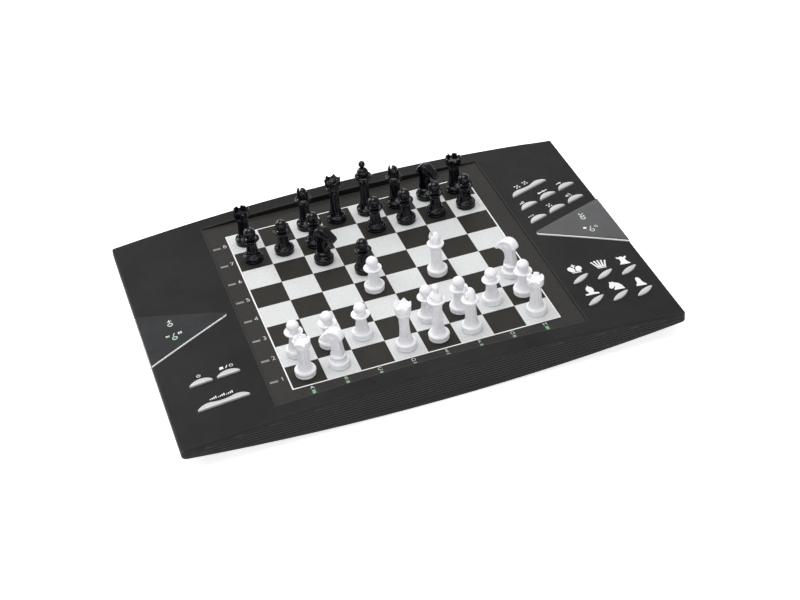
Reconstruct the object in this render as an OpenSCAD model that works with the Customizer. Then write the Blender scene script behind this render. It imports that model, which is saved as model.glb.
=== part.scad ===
// Electronic chess computer: a lens-shaped body with a sunken sensor board, sixteen keys,
// two smoked indicator windows and a set of thirty-two chessmen.
// Origin: the middle of the body, on the surface it stands on. +Y points to the black side.

/* [Body] */
// Width of the body from side to side
body_w = 376; // [366:1:392]
// Depth of the body from front to back
body_d = 260; // [254:1:282]
// Thickness of the body along its left and right edges
edge_t = 6.4; // [5.8:0.1:8.5]
// Height of the deck's middle above its side edges
deck_rise = 10.6; // [10:0.1:13]
// Depth of the belly's middle below the side edges
belly_drop = 10.9; // [10.5:0.1:13]
// Radius of the four corners in plan
corner_r = 3.5; // [3:0.5:8]
// Radius of the rounding along the deck's outer edges
edge_round = 1.3; // [0.5:0.1:1.5]
// Thickness of the arched deck
deck_wall = 1.6; // [1.4:0.1:1.8]
// Thickness of the belly
belly_wall = 1.6; // [1.4:0.1:1.8]
// Thickness of the upright walls round the body
side_wall = 2; // [1.8:0.1:2.4]
// Height of the bottom housing's rim below the parting groove
rim_h = 2.1; // [1.8:0.1:2.4]
// Height of the parting groove
groove_h = 0.5; // [0.3:0.1:0.7]
// Depth of the parting groove
groove_deep = 0.6; // [0.3:0.1:1]
// Thickness of the locating lip inside the side walls
lip_t = 1.2; // [1:0.1:1.5]
// Height of the locating lip above the rim
lip_h = 1.4; // [1:0.1:1.8]
// Number of grooves in the ribbed front
rib_count = 9; // [5:2:9]
// Pitch of the grooves in the ribbed front
rib_pitch = 2.1; // [1.8:0.1:2.2]
// Height of each groove in the ribbed front
rib_groove = 0.8; // [0.5:0.1:1.2]
// Depth of each groove in the ribbed front
rib_deep = 0.6; // [0.3:0.1:1]
// Plain band between the deck's edge and the ribs
rib_margin = 3.4; // [2.5:0.1:4]

/* [Board] */
// Side of one square of the board
square = 25; // [23:0.5:25.5]
// Margin between the squares and the walls of the well
well_margin = 16.25; // [15:0.25:17]
// Depth of the board below the deck's middle
well_depth = 5; // [4.6:0.1:5.6]
// How far the squares sit forward of the middle of the well
field_shift = 2.4; // [0:0.1:3]
// Thickness of the walls and floor of the well
well_wall = 1.6; // [1.4:0.1:2]
// Thickness of the printed board with its sensor foil
panel_t = 1.2; // [0.8:0.1:1.6]
// Gap between the printed board and the walls of the well
panel_gap = 0.2; // [0.1:0.05:0.4]
// Length of a lamp bar
bar_l = 6; // [5:0.1:7]
// Width of a lamp bar
bar_w = 2.2; // [1.8:0.1:3]
// Distance from the squares to the middle of the lamp bars along the front
bar_out = 9.7; // [8.5:0.1:11]
// Distance from the squares to the middle of the lamp bars on the left
rank_bar_out = 10.9; // [9:0.1:11.5]
// Gap round each lamp bar
bar_gap = 0.1; // [0.05:0.05:0.2]

/* [Keys] */
// Travel of a key
key_travel = 0.8; // [0.4:0.1:0.9]
// Height of a key above the deck
key_raise = 1.3; // [1:0.1:2.5]
// Gap between a key and its hole
key_gap = 0.3; // [0.2:0.05:0.4]
// Diameter of the stud under a key
stud_d = 3; // [2:0.1:4]
// Thickness of the flange that keeps a key in
flange_t = 0.7; // [0.5:0.1:0.8]
// Width of the flange round a key
flange_w = 0.9; // [0.6:0.1:1.2]
// Length of a half-moon key
moon_l = 16.8; // [15:0.1:17.5]
// Depth of a half-moon key
moon_d = 5; // [4:0.1:6]
// Height of the straight ends of a half-moon key
moon_end = 1; // [0.6:0.1:1.6]
// Distance between the two humps of a wave key
wave_pitch = 20.8; // [19:0.1:22]
// Depth of a wave key in its dip
wave_dip = 3.4; // [3:0.1:3.8]
// Length of a lens key
lens_l = 17; // [15:0.1:18]
// Width of a lens key
lens_w = 4; // [3.4:0.1:5]
// Distance between the key columns
key_pitch = 19.4; // [18.8:0.1:19.8]
// Distance between the rows of command keys
key_row_pitch = 19.7; // [17:0.1:21]
// Distance from the window's edge up to the first row of command keys
key_clear = 14.3; // [13:0.1:16]
// How much the tips of a lens key are cut back
lens_cut = 0.6; // [0.4:0.1:1]
// Tilt of the lens keys
lens_tilt = 31; // [20:1:38]
// Distance from the front edge to the first row of lens keys
lens_inset = 33.9; // [32:0.1:36]
// Distance between the rows of lens keys
lens_row_pitch = 28.6; // [26:0.1:30]
// Distance from the front edge to the wave key on the left
left_inset = 36.4; // [32:0.1:39]
// Distance between the rows of keys on the left
left_row_pitch = 28.1; // [24:0.1:30]
// Distance between the two half-moon keys on the left
left_pitch = 20.4; // [19:0.1:22]
// How far the keys on the left sit inward of the wing's middle
left_in = 3.4; // [1:0.1:5]
// How far the keys on the right sit inward of the wing's middle
right_in = 0.7; // [0:0.1:1.5]

/* [Indicator windows] */
// Half the length of a window along the side of the body
window_half = 31.8; // [28:0.1:34]
// Slope of a window's long edges
window_angle = 25.2; // [24:0.1:27]
// Radius of a window's tip
window_tip_r = 2.6; // [1.5:0.1:4]
// Height of a window above the deck
window_raise = 0.9; // [0.4:0.1:1.2]
// How deep a window is let into the deck
window_sink = 0.5; // [0.3:0.1:0.8]
// Gap round a window
window_gap = 0.1; // [0.05:0.05:0.2]
// Diameter of a round lamp
lamp_d = 4.4; // [3:0.1:5]
// Distance from the side of the body to the round lamps
lamp_inset = 23; // [19:0.5:27]
// Distance between the two round lamps in a window
lamp_pitch = 15.5; // [12:0.5:18]
// Gap between a round lamp and its hole or window
lamp_gap = 0.25; // [0.15:0.05:0.3]

/* [Circuit boards] */
// Thickness of the main circuit board
main_board_t = 1.6; // [1.2:0.1:2]
// Width of the main circuit board's two strips
main_strip_w = 27; // [24:1:32]
// Length of the main circuit board's two strips
main_strip_l = 212; // [190:1:214]
// Space between the main circuit board and the well
main_board_drop = 3.7; // [3:0.1:5]
// Thickness of the wing circuit boards
wing_board_t = 1; // [0.8:0.1:1.1]
// Distance from the main circuit board's corner to its posts
main_pin_inset = 20; // [16:0.5:22]
// Distance from the far ends of the main circuit board to their posts
main_pin_end = 6; // [4:0.5:10]
// Height of the parts under the main circuit board
parts_h = 3; // [2:0.1:3.5]
// Length of the processor
processor_l = 36; // [24:1:40]
// Width of the processor
processor_w = 14; // [10:0.5:16]
// Distance from the main circuit board's corner to the processor
processor_x = 60; // [50:1:62]
// Length of the crystal
crystal_l = 11; // [8:0.5:12]
// Width of the crystal
crystal_w = 5; // [4:0.1:6]
// Distance from the main circuit board's corner to the crystal
crystal_x = 102; // [101:1:120]
// Diameter of the sounder
sounder_d = 22; // [16:1:24]
// Distance from the main circuit board's corner to the sounder's middle
sounder_x = 150; // [145:1:180]
// Length of the wing circuit boards
wing_board_l = 189; // [186:1:191]
// How far the wing circuit boards sit forward of the body's middle
wing_board_shift = 18.5; // [17.5:0.5:19.5]
// Gap between the wing circuit boards and the walls of the well
wing_board_gap = 1; // [0.5:0.1:1.5]
// Gap between the wing circuit boards and the locating lip
wing_lip_gap = 0.5; // [0.4:0.1:1]
// Gap between the wing circuit boards and the belly
wing_board_rise = 0.1; // [0.1:0.1:0.3]
// Distance from the wing circuit boards' sides to their posts
wing_pin_inset = 6; // [5:0.5:8]
// Distance from the wing circuit boards' ends to their posts
wing_pin_end = 4; // [3.5:0.5:5]
// Gap between a switch dome and a pressed key
dome_gap = 0.15; // [0.05:0.05:0.3]
// Diameter of a switch dome
dome_d = 6; // [4:0.5:7]
// Height of a switch dome
dome_h = 0.4; // [0.2:0.1:0.5]
// Diameter of the posts that carry the circuit boards
post_d = 5; // [4:0.5:6]
// Diameter of the pins on those posts
pin_d = 2.4; // [2:0.1:2.8]
// Gap round each pin
pin_gap = 0.05; // [0.03:0.01:0.1]
// Height of each pin above its circuit board
pin_h = 0.8; // [0.4:0.1:1]

/* [Battery bay] */
// Diameter of a battery cell
cell_d = 14.3; // [13.5:0.1:14.5]
// Length of a battery cell without its button
cell_l = 49; // [47:0.5:50]
// Length of a battery cell's button
cell_button = 1.4; // [1:0.1:1.5]
// Gap round each battery cell
cell_gap = 0.2; // [0.1:0.05:0.4]
// Length of a contact spring
spring_l = 3; // [2:0.1:4]
// Thickness of a contact plate
contact_t = 0.5; // [0.3:0.1:0.8]
// Thickness of the bay's walls and ribs
bay_wall = 1.5; // [1.2:0.1:2]
// Height of the ribs above the cells
bay_cover = 0.6; // [0.4:0.1:1]
// Thickness of the battery door
door_t = 1.4; // [1.1:0.1:1.5]
// Gap round the battery door
door_gap = 0.2; // [0.15:0.05:0.3]
// Length of the finger grooves on the battery door
grip_l = 24; // [16:1:40]
// Width of a finger groove
grip_w = 1.2; // [0.8:0.1:1.6]
// Pitch of the finger grooves
grip_pitch = 3; // [2.4:0.1:4]
// Distance from the rear of the body to the first finger groove
grip_inset = 12; // [8:0.5:16]
// Depth of a finger groove
grip_deep = 0.4; // [0.2:0.1:0.6]
// Number of finger grooves
grip_count = 4; // [2:1:5]
// How far the bay keeps from the locating lip
bay_inset = 1.5; // [1:0.1:3]

/* [Screws and feet] */
// Distance between the outer columns of screws
screw_span = 300; // [290:1:310]
// Distance between the inner columns of screws
screw_inner_span = 156; // [150:1:170]
// Distance from the body's edge to the rows of screws
screw_inset = 7.5; // [7.3:0.1:7.6]
// Diameter of a screw's shank
screw_d = 2.9; // [2.4:0.1:3]
// Diameter of a screw's head
screw_head_d = 5.4; // [5:0.1:5.6]
// Height of a screw's head
screw_head_h = 1.9; // [1.4:0.1:2]
// Length of a screw's shank
screw_l = 8; // [7:0.5:8.5]
// How deep a screw's head sits below the belly's surface
screw_sink = 0.4; // [0.2:0.1:0.6]
// Thickness of the bottom housing under a screw's head
screw_grip = 2.2; // [1.8:0.1:2.6]
// Depth of a screw hole past the screw's end
screw_end_gap = 0.4; // [0.2:0.1:0.6]
// Gap round a screw's head
screw_head_gap = 0.25; // [0.1:0.05:0.4]
// Length of the cross in a screw's head
drive_l = 3; // [2.4:0.1:3.6]
// Width of the cross in a screw's head
drive_w = 0.8; // [0.6:0.1:1]
// Depth of the cross in a screw's head
drive_deep = 0.9; // [0.6:0.1:1]
// Thickness of the wall outside a screw hole
boss_wall = 1.9; // [1.4:0.1:2]
// Gap round a screw's shank in the bottom housing
screw_gap = 0.2; // [0.1:0.05:0.3]
// Gap round a screw's shank in the top housing, where its thread bites
thread_gap = 0.05; // [0.03:0.01:0.08]
// Diameter of a rubber foot
foot_d = 12; // [9:0.5:14]
// Height of the bevel round a foot
foot_bevel = 0.5; // [0.3:0.1:0.8]
// Depth of a foot's pocket in the belly
foot_pocket = 0.4; // [0.3:0.1:0.6]
// Thickness of the wall round a foot's pocket
foot_wall = 2; // [1.5:0.1:3]
// Gap round a foot in its pocket
foot_gap = 0.05; // [0.03:0.01:0.1]
// Distance of each foot from the body's middle, sideways
foot_x = 100; // [80:1:105]
// Distance of each foot from the body's middle, front to back
foot_y = 100; // [80:1:105]
// Space between the belly's lowest point and the surface
foot_clear = 1.2; // [0.8:0.1:2]

/* [Chessmen] */
// Widest radius of a chessman's base
base_r = 8.2; // [7.4:0.1:9]
// Height of the plain band under the base's rim
base_band = 2.6; // [2:0.1:3]
// Radius of the base's rounded rim
base_rim = 1.5; // [1.2:0.1:2]
// Height at which the base passes into the stem
base_h = 9; // [8:0.1:10]
// Radius of a stem at its foot
stem_r = 4.3; // [3.8:0.1:5]
// Radius of a stem at its waist
waist_r = 3.5; // [3:0.1:3.8]
// Radius of a collar
collar_r = 6.9; // [6:0.1:7.5]
// Radius of a collar's rounded rim
collar_rim = 1.1; // [0.8:0.1:1.4]
// Height of the flare under a collar
flare_h = 4.5; // [3.5:0.1:5.5]
// Height of a pawn's collar
pawn_collar = 18.6; // [17:0.1:21]
// Radius of a pawn's head
pawn_head = 4.5; // [4:0.1:5]
// Height of a bishop's collar
bishop_collar = 27.4; // [24:0.1:30]
// Radius of a bishop's mitre
bishop_dome = 4.1; // [3.6:0.1:4.6]
// Width of the notch in a bishop's mitre
notch_w = 0.9; // [0.6:0.1:1.2]
// Height of a rook's crown where its merlons start
rook_crown = 28.6; // [26:0.1:31]
// Radius of the cup in a rook's crown
rook_cup_r = 5; // [4:0.1:5.2]
// Depth of the cup below a rook's merlons
rook_cup = 2; // [1:0.1:2.5]
// Height of a rook's merlons
merlon_h = 3; // [2:0.1:4]
// Width of a rook's merlons
merlon_w = 4; // [3:0.1:5]
// Number of merlons round a rook's crown
merlon_count = 6; // [4:1:6]
// Height of a queen's crown where its points start
queen_crown = 37; // [34:0.1:39]
// Height of a queen's flaring crown up to its points
queen_flare = 9; // [7:0.1:11]
// Number of points on a queen's crown
queen_points = 6; // [5:1:8]
// Height of a queen's points
point_h = 3; // [2:0.1:4]
// Height of a king's collar
king_collar = 35; // [32:0.1:38]
// Radius of a king's dome
king_dome = 4.2; // [3.6:0.1:4.6]
// Radius of a king's ball
king_ball = 2.6; // [2:0.1:3]
// Height of a knight
knight_h = 35; // [32:0.1:37]
// Thickness of a knight's head
knight_t = 6.6; // [5:0.1:7.5]

/* [Hidden] */

$fn = 48;
arch_fn = 256;          // facets of the deck's and the belly's long arcs
over = 1;               // how far a cut runs past what it cuts

deck_color = "#3a3b3d";
panel_color = "#38342f";
key_color = "#c9cac8";
window_color = "#5a5d63";
lamp_color = "#a9dcae";
board_color = "#2f6b3f";
metal_color = "#b9bcc0";
rubber_color = "#1c1c1c";
white_color = "#f1f1f3";
black_color = "#131315";

// The body's two arcs, and heights on them
side_low = foot_clear + belly_drop;
side_top = side_low + edge_t;
deck_top = side_top + deck_rise;
deck_r = (pow(body_w / 2, 2) + pow(deck_rise, 2)) / (2 * deck_rise);
belly_r = (pow(body_w / 2, 2) + pow(belly_drop, 2)) / (2 * belly_drop);
function deck_z(x, down = 0) = deck_top - deck_r + sqrt(pow(deck_r - down, 2) - x * x);
function belly_z(x, up = 0) = foot_clear + belly_r - sqrt(pow(belly_r - up, 2) - x * x);

// The board and its well
field_w = 8 * square;
well_w = field_w + 2 * well_margin;
board_z = deck_top - well_depth;
seat_z = board_z - panel_t;
well_low = seat_z - well_wall;
tub_w = well_w + 2 * well_wall;
function file_x(file) = (file - 4.5) * square;
function rank_y(rank) = (rank - 4.5) * square - field_shift;

// The wings and what lies in them
lip_x = body_w / 2 - side_wall - panel_gap - lip_t;
wing_x0 = tub_w / 2 + wing_board_gap;
wing_x1 = lip_x - wing_lip_gap;
wing_mid = (body_w + well_w) / 4;
wing_board_z = belly_z(wing_x1, belly_wall) + wing_board_rise;
wing_board_top = wing_board_z + wing_board_t;
main_board_z = well_low - main_board_drop - main_board_t;
main_board_top = main_board_z + main_board_t;
main_board_x = -well_w / 2;
main_board_y = -well_w / 2;
lamp_x = body_w / 2 - lamp_inset;
lamp_top = deck_z(lamp_x + lamp_d / 2, window_sink) - lamp_gap;

// Windows: half the length at a distance x, and the tip's circle
function window_edge(x) = window_half - (body_w / 2 - x) * tan(window_angle);
window_point = body_w / 2 - window_half / tan(window_angle);
window_tip_x = window_point + window_tip_r / sin(window_angle);

// Key places: columns, rows, and one line for each key
stud_z = wing_board_top + dome_h + key_travel + dome_gap;
function column_x(column) = wing_mid - right_in + column * key_pitch;
function command_y(x, row) = window_edge(x) + key_clear + row * key_row_pitch;
function lens_y(row) = -body_d / 2 + lens_inset + row * lens_row_pitch;
function left_y(row) = -body_d / 2 + left_inset + row * left_row_pitch;
left_x = left_in - wing_mid;
// node, outline, x, y, tilt
KEYS = concat(
    [["on_key", "moon", left_x - left_pitch / 2, left_y(1), 0],
     ["save_off_key", "moon", left_x + left_pitch / 2, left_y(1), 0],
     ["training_key", "wave", left_x, left_y(0), 0]],
    [for (k = [["new_game_key", "wave", -0.5, 2], ["level_key", "moon", -1, 1],
               ["take_back_key", "moon", 0, 1], ["move_key", "moon", 1, 1],
               ["hint_key", "moon", -1, 0], ["set_up_key", "moon", 0, 0],
               ["sound_key", "moon", 1, 0]])
        [k[0], k[1], column_x(k[2]), command_y(column_x(k[2]), k[3]), window_angle]],
    [for (k = [["king_key", -1, 1], ["queen_key", 0, 1], ["rook_key", 1, 1],
               ["bishop_key", -1, 0], ["knight_key", 0, 0], ["pawn_key", 1, 0]])
        [k[0], "lens", column_x(k[1]), lens_y(k[2]), lens_tilt]]
);

// Battery bay: two rows of two cells, end to end along X
cell_r = cell_d / 2;
cell_space = cell_l + cell_button + cell_gap / 2;
bay_half = cell_space + spring_l + contact_t;
door_half = bay_half - door_t;
door_low = belly_z(bay_half);
bay_y1 = body_d / 2 - side_wall - panel_gap - lip_t - bay_inset - bay_wall;
cell_pitch = cell_d + cell_gap;
bay_y0 = bay_y1 - 2 * cell_pitch - cell_gap;
cell_z = belly_z(bay_half, door_t) + cell_gap + cell_r;
bay_top = cell_z + cell_r + cell_gap + bay_cover;
function cell_y(row) = bay_y0 + cell_gap + cell_r + row * cell_pitch;

// Screws and feet
screw_seat = screw_head_h + screw_sink;
boss_step = screw_seat + screw_grip;
boss_r = screw_d / 2 + boss_wall;
foot_top = belly_z(foot_x + foot_d / 2) + foot_pocket;
SCREWS = [for (x = [-screw_span, -screw_inner_span, screw_inner_span, screw_span], s = [-1, 1])
    [x / 2, s * (body_d / 2 - screw_inset)]];
FEET = [for (sx = [-1, 1], sy = [-1, 1]) [sx * foot_x, sy * foot_y]];

// node, kind, colour, file, rank, facing
CHESSMEN = concat(
    [["white_king", "king", white_color, 5, 1, 0], ["white_queen", "queen", white_color, 4, 1, 0],
     ["white_rook_a", "rook", white_color, 1, 1, 0], ["white_rook_h", "rook", white_color, 8, 1, 0],
     ["white_knight_b", "knight", white_color, 2, 1, 140],
     ["white_knight_g", "knight", white_color, 8, 3, 140],
     ["white_bishop_c", "bishop", white_color, 6, 4, 0],
     ["white_bishop_f", "bishop", white_color, 6, 1, 0],
     ["black_king", "king", black_color, 5, 8, 0], ["black_queen", "queen", black_color, 4, 8, 0],
     ["black_rook_a", "rook", black_color, 1, 8, 0], ["black_rook_h", "rook", black_color, 8, 8, 0],
     ["black_knight_b", "knight", black_color, 3, 6, -45],
     ["black_knight_g", "knight", black_color, 7, 8, -50],
     ["black_bishop_c", "bishop", black_color, 3, 8, 0],
     ["black_bishop_f", "bishop", black_color, 6, 8, 0]],
    [for (p = [["white_pawn_a", 1], ["white_pawn_b", 2], ["white_pawn_c", 3], ["white_pawn_e", 5],
               ["white_pawn_f", 6], ["white_pawn_g", 7], ["white_pawn_h", 8]])
        [p[0], "pawn", white_color, p[1], 2, 0]],
    [for (p = [["black_pawn_a", 1], ["black_pawn_b", 2], ["black_pawn_c", 3], ["black_pawn_e", 5],
               ["black_pawn_f", 6], ["black_pawn_g", 7], ["black_pawn_h", 8]])
        [p[0], "pawn", black_color, p[1], 7, 0]],
    [["white_pawn_d", "pawn", white_color, 4, 4, 0], ["black_pawn_d", "pawn", black_color, 4, 5, 0]]
);

// ---- Shared shapes ----

// Everything inside the deck's arc lowered by `down`
module deck_below(down = 0)
    translate([0, 0, deck_top - deck_r]) rotate([90, 0, 0])
        cylinder(r = deck_r - down, h = body_d + 4 * over, center = true, $fn = arch_fn);

// Everything below the deck's arc, with its front, rear and side edges rounded
module rounded_deck() {
    arc_z = deck_top - deck_r;
    round_x = body_w / 2 - edge_round;
    round_z = deck_z(round_x, edge_round);
    intersection() {
        translate([0, 0, arc_z]) rotate([90, 0, 0]) rotate_extrude($fn = arch_fn) {
            translate([0, -body_d / 2]) square([deck_r - edge_round, body_d]);
            translate([0, edge_round - body_d / 2]) square([deck_r, body_d - 2 * edge_round]);
            for (s = [-1, 1]) translate([deck_r - edge_round, s * (body_d / 2 - edge_round)])
                circle(edge_round, $fn = 24);
        }
        union() {
            centred_box(2 * round_x, body_d, 0, deck_top + over);
            centred_box(body_w, body_d, 0, round_z);
            for (s = [-1, 1]) translate([s * round_x, 0, round_z]) rotate([90, 0, 0])
                cylinder(r = edge_round, h = body_d, center = true);
        }
    }
}

// Everything inside the belly's arc raised by `up`
module belly_above(up = 0)
    translate([0, 0, foot_clear + belly_r]) rotate([90, 0, 0])
        cylinder(r = belly_r - up, h = body_d + 4 * over, center = true, $fn = arch_fn);

// The children between two depths below the deck's arc
module deck_band(top, bottom)
    difference() {
        intersection() {
            children();
            deck_below(top);
        }
        deck_below(bottom);
    }

// The children between two heights above the belly's arc
module belly_band(bottom, top)
    difference() {
        intersection() {
            children();
            belly_above(bottom);
        }
        belly_above(top);
    }

// An upright prism on the body's outline, smaller by `inset` all round
module plan(inset = 0) {
    w = body_w - 2 * inset;
    d = body_d - 2 * inset;
    r = max(corner_r - inset, 0.6);
    linear_extrude(deck_top + over) {
        square([w - 2 * r, d], center = true);
        square([w, d - 2 * r], center = true);
        for (sx = [-1, 1], sy = [-1, 1]) translate([sx * (w / 2 - r), sy * (d / 2 - r)]) circle(r);
    }
}

// A box centred on X and Y, from one height to another
module centred_box(w, d, low, high)
    translate([-w / 2, -d / 2, low]) cube([w, d, high - low]);

// Places of the lamp bars: the ranks' on the left, the files' along the front
module at_lamp_bars() {
    for (i = [1:8]) translate([-field_w / 2 - rank_bar_out, rank_y(i), 0]) children();
    for (i = [1:8]) translate([file_x(i), rank_y(0.5) - bar_out, 0]) rotate(90) children();
}

module lamp_bar(low, high, gap = 0)
    centred_box(bar_l + 2 * gap, bar_w + 2 * gap, low, high);

// Places of the round lamps below the windows
module at_round_lamps()
    for (sx = [-1, 1], sy = [-1, 1]) translate([sx * lamp_x, sy * lamp_pitch / 2, 0]) children();

// Outline of the window in the right wing
module window_outline(grow = 0) {
    base_x = body_w / 2 + over;
    base_half = window_edge(base_x) + grow / cos(window_angle);
    // the straight edges start a hair inside the tip's circle, so that they cross it cleanly
    tangent = [-sin(window_angle), cos(window_angle)] * (window_tip_r + grow) * 0.998;
    translate([window_tip_x, 0]) circle(window_tip_r + grow);
    polygon([[window_tip_x + tangent[0], -tangent[1]], [base_x, -base_half],
             [base_x, base_half], [window_tip_x + tangent[0], tangent[1]]]);
}

module both_wings() {
    children();
    mirror([1, 0, 0]) children();
}

// ---- Key outlines, centred on the middle of their depth ----

moon_r = (pow(moon_l / 2, 2) + pow(moon_d - moon_end, 2)) / (2 * (moon_d - moon_end));

module moon(grow = 0)
    translate([0, -moon_d / 2]) intersection() {
        translate([-moon_l / 2 - grow, -grow]) square([moon_l + 2 * grow, moon_d + 2 * grow]);
        translate([0, moon_d - moon_r]) circle(moon_r + grow, $fn = 96);
    }

// Two half-moons joined by a hollow that is tangent to both
module wave(grow = 0) {
    half = wave_pitch / 2;
    lift = wave_dip - (moon_d - moon_r);
    dip_r = (half * half + lift * lift - moon_r * moon_r) / (2 * (moon_r - lift));
    dip_y = wave_dip + dip_r;
    touch_y = moon_d - moon_r + (dip_y - moon_d + moon_r) * (moon_r + grow) / (moon_r + dip_r);
    for (s = [-1, 1]) translate([s * half, 0]) moon(grow);
    translate([0, -moon_d / 2]) difference() {
        translate([-half, -grow]) square([2 * half, touch_y + grow]);
        translate([0, dip_y]) circle(dip_r - grow, $fn = 128);
    }
}

module lens(grow = 0) {
    bow = (pow(lens_l / 2, 2) + pow(lens_w / 2, 2)) / lens_w;
    intersection() {
        square([lens_l - 2 * lens_cut + 2 * grow, lens_w + 2 * grow], center = true);
        translate([0, lens_w / 2 - bow]) circle(bow + grow, $fn = 128);
        translate([0, bow - lens_w / 2]) circle(bow + grow, $fn = 128);
    }
}

module key_prism(k, grow = 0)
    translate([k[2], k[3], 0]) rotate(k[4]) linear_extrude(deck_top + over) {
        if (k[1] == "moon") moon(grow);
        if (k[1] == "wave") wave(grow);
        if (k[1] == "lens") lens(grow);
    }

// ---- Housing ----

module top_housing() color(deck_color)
    difference() {
        union() {
            difference() {
                intersection() {
                    plan();
                    rounded_deck();
                    belly_above(rim_h);
                }
                intersection() {
                    plan(side_wall);
                    deck_below(deck_wall);
                }
            }
            intersection() {
                centred_box(tub_w, tub_w, well_low, deck_top);
                deck_below();
            }
            for (s = SCREWS) intersection() {
                translate([s[0], s[1], belly_z(s[0]) + boss_step])
                    cylinder(r = boss_r, h = deck_top - belly_z(s[0]));
                deck_below(deck_wall / 2);
            }
        }
        centred_box(well_w, well_w, seat_z, deck_top + over);
        at_lamp_bars() lamp_bar(well_low - over, seat_z + over, bar_gap);
        for (k = KEYS) key_prism(k, key_gap);
        both_wings() deck_band(-window_raise - over, window_sink)
            linear_extrude(deck_top + 2 * over) window_outline(window_gap);
        at_round_lamps() cylinder(d = lamp_d + 2 * lamp_gap, h = deck_top);
        for (s = SCREWS) translate([s[0], s[1], 0])
            cylinder(d = screw_d + 2 * thread_gap, h = belly_z(s[0]) + screw_seat + screw_l + screw_end_gap);
        front_grooves();
        parting_groove();
    }

// Level grooves across the front, kept clear of the deck's edge and the parting groove
module front_grooves()
    intersection() {
        for (i = [0 : rib_count - 1])
            translate([-body_w / 2, -body_d / 2 - over,
                       (deck_top + foot_clear) / 2 + (i - (rib_count - 1) / 2) * rib_pitch - rib_groove / 2])
                cube([body_w, rib_deep + over, rib_groove]);
        deck_below(rib_margin);
        belly_above(rim_h + groove_h + rib_groove / 2);
    }

module parting_groove()
    difference() {
        belly_band(rim_h, rim_h + groove_h) plan(-over);
        plan(groove_deep);
    }

// Cross-section of the battery door, wedge-shaped at 45 degrees so that it can't drop out
module door_section(gap = 0) {
    half = door_half + gap * sqrt(2) - door_low;
    translate([0, body_d, 0]) rotate([90, 0, 0]) linear_extrude(2 * body_d)
        polygon([[-half, 0], [half, 0], [half + side_low, side_low], [-half - side_low, side_low]]);
}

module door_space(gap)
    intersection() {
        door_section(gap);
        translate([-body_w / 2, bay_y0 - gap, 0]) cube([body_w, body_d, deck_top]);
    }

module bottom_housing() color(deck_color)
    difference() {
        union() {
            belly_band(0, belly_wall) plan();
            belly_band(0, rim_h) difference() {
                plan();
                plan(side_wall);
            }
            belly_band(belly_wall / 2, rim_h + lip_h) difference() {
                plan(side_wall + panel_gap);
                plan(side_wall + panel_gap + lip_t);
            }
            for (s = SCREWS) intersection() {
                translate([s[0], s[1], 0])
                    cylinder(r = screw_head_d / 2 + boss_wall, h = belly_z(s[0]) + boss_step);
                belly_above();
                plan(side_wall + panel_gap);
            }
            for (f = FEET) intersection() {
                translate([f[0], f[1], 0]) cylinder(d = foot_d + 2 * foot_wall, h = foot_top + belly_wall);
                belly_above();
            }
            circuit_board_posts();
            bay_walls();
        }
        for (s = SCREWS) translate([s[0], s[1], 0]) {
            cylinder(d = screw_head_d + 2 * screw_head_gap, h = belly_z(s[0]) + screw_seat);
            cylinder(d = screw_d + 2 * screw_gap, h = deck_top);
        }
        for (f = FEET) translate([f[0], f[1], 0]) cylinder(d = foot_d + 2 * foot_gap, h = foot_top);
        difference() {
            door_space(door_gap);
            intersection() {
                belly_above(door_t + door_gap);
                plan(side_wall);
            }
        }
        lip_gap_for_door();
    }

// The locating lip stops where the door slides out
module lip_gap_for_door()
    translate([-door_half, bay_y1 + bay_wall, 0])
        cube([2 * door_half, body_d / 2 - bay_y1 - bay_wall, deck_top]);

module post(x, y, board_low, board_top)
    intersection() {
        translate([x, y, 0]) {
            cylinder(d = post_d, h = board_low);
            cylinder(d = pin_d, h = board_top + pin_h);
        }
        belly_above(belly_wall / 2);
    }

function wing_pins() = [for (x = [wing_x0 + wing_pin_inset, wing_x1 - wing_pin_inset],
                             y = [-1, 1]) [x, y * (wing_board_l / 2 - wing_pin_end) - wing_board_shift]];
function main_pins() = [for (p = [[main_pin_inset, main_pin_inset],
                                  [main_strip_l - main_pin_end, main_pin_inset],
                                  [main_pin_inset, main_strip_l - main_pin_end]])
                        [main_board_x + p[0], main_board_y + p[1]]];

module circuit_board_posts() {
    both_wings() for (p = wing_pins()) post(p[0], p[1], wing_board_z, wing_board_top);
    for (p = main_pins()) post(p[0], p[1], main_board_z, main_board_top);
}

// Walls round the cells, and ribs over them
module bay_walls()
    intersection() {
        union() {
            difference() {
                translate([-bay_half - bay_wall, bay_y0 - bay_wall, 0])
                    cube([2 * (bay_half + bay_wall), bay_y1 - bay_y0 + 2 * bay_wall, bay_top]);
                translate([-bay_half, bay_y0, -over])
                    cube([2 * bay_half, bay_y1 - bay_y0, bay_top + 2 * over]);
            }
            for (x = [-1.5, -0.5, 0.5, 1.5] * cell_l / 3) difference() {
                translate([x - bay_wall / 2, bay_y0 - bay_wall / 2, cell_z + cell_r / 3])
                    cube([bay_wall, bay_y1 - bay_y0 + bay_wall, bay_top - cell_z - cell_r / 3]);
                for (row = [0, 1]) translate([-body_w / 2, cell_y(row), cell_z]) rotate([0, 90, 0])
                    cylinder(d = cell_d + cell_gap, h = body_w);
            }
        }
        belly_above(belly_wall / 2);
    }

module battery_door() color(deck_color)
    difference() {
        intersection() {
            union() {
                belly_band(0, door_t) plan();
                belly_band(0, rim_h - door_gap) difference() {
                    plan();
                    plan(side_wall - door_gap);
                }
            }
            door_section();
            translate([-body_w / 2, bay_y0, 0]) cube([body_w, body_d, deck_top]);
        }
        for (i = [0 : grip_count - 1]) translate([-grip_l / 2, body_d / 2 - grip_inset - i * grip_pitch, 0])
            cube([grip_l, grip_w, foot_clear + grip_deep]);
    }

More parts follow.
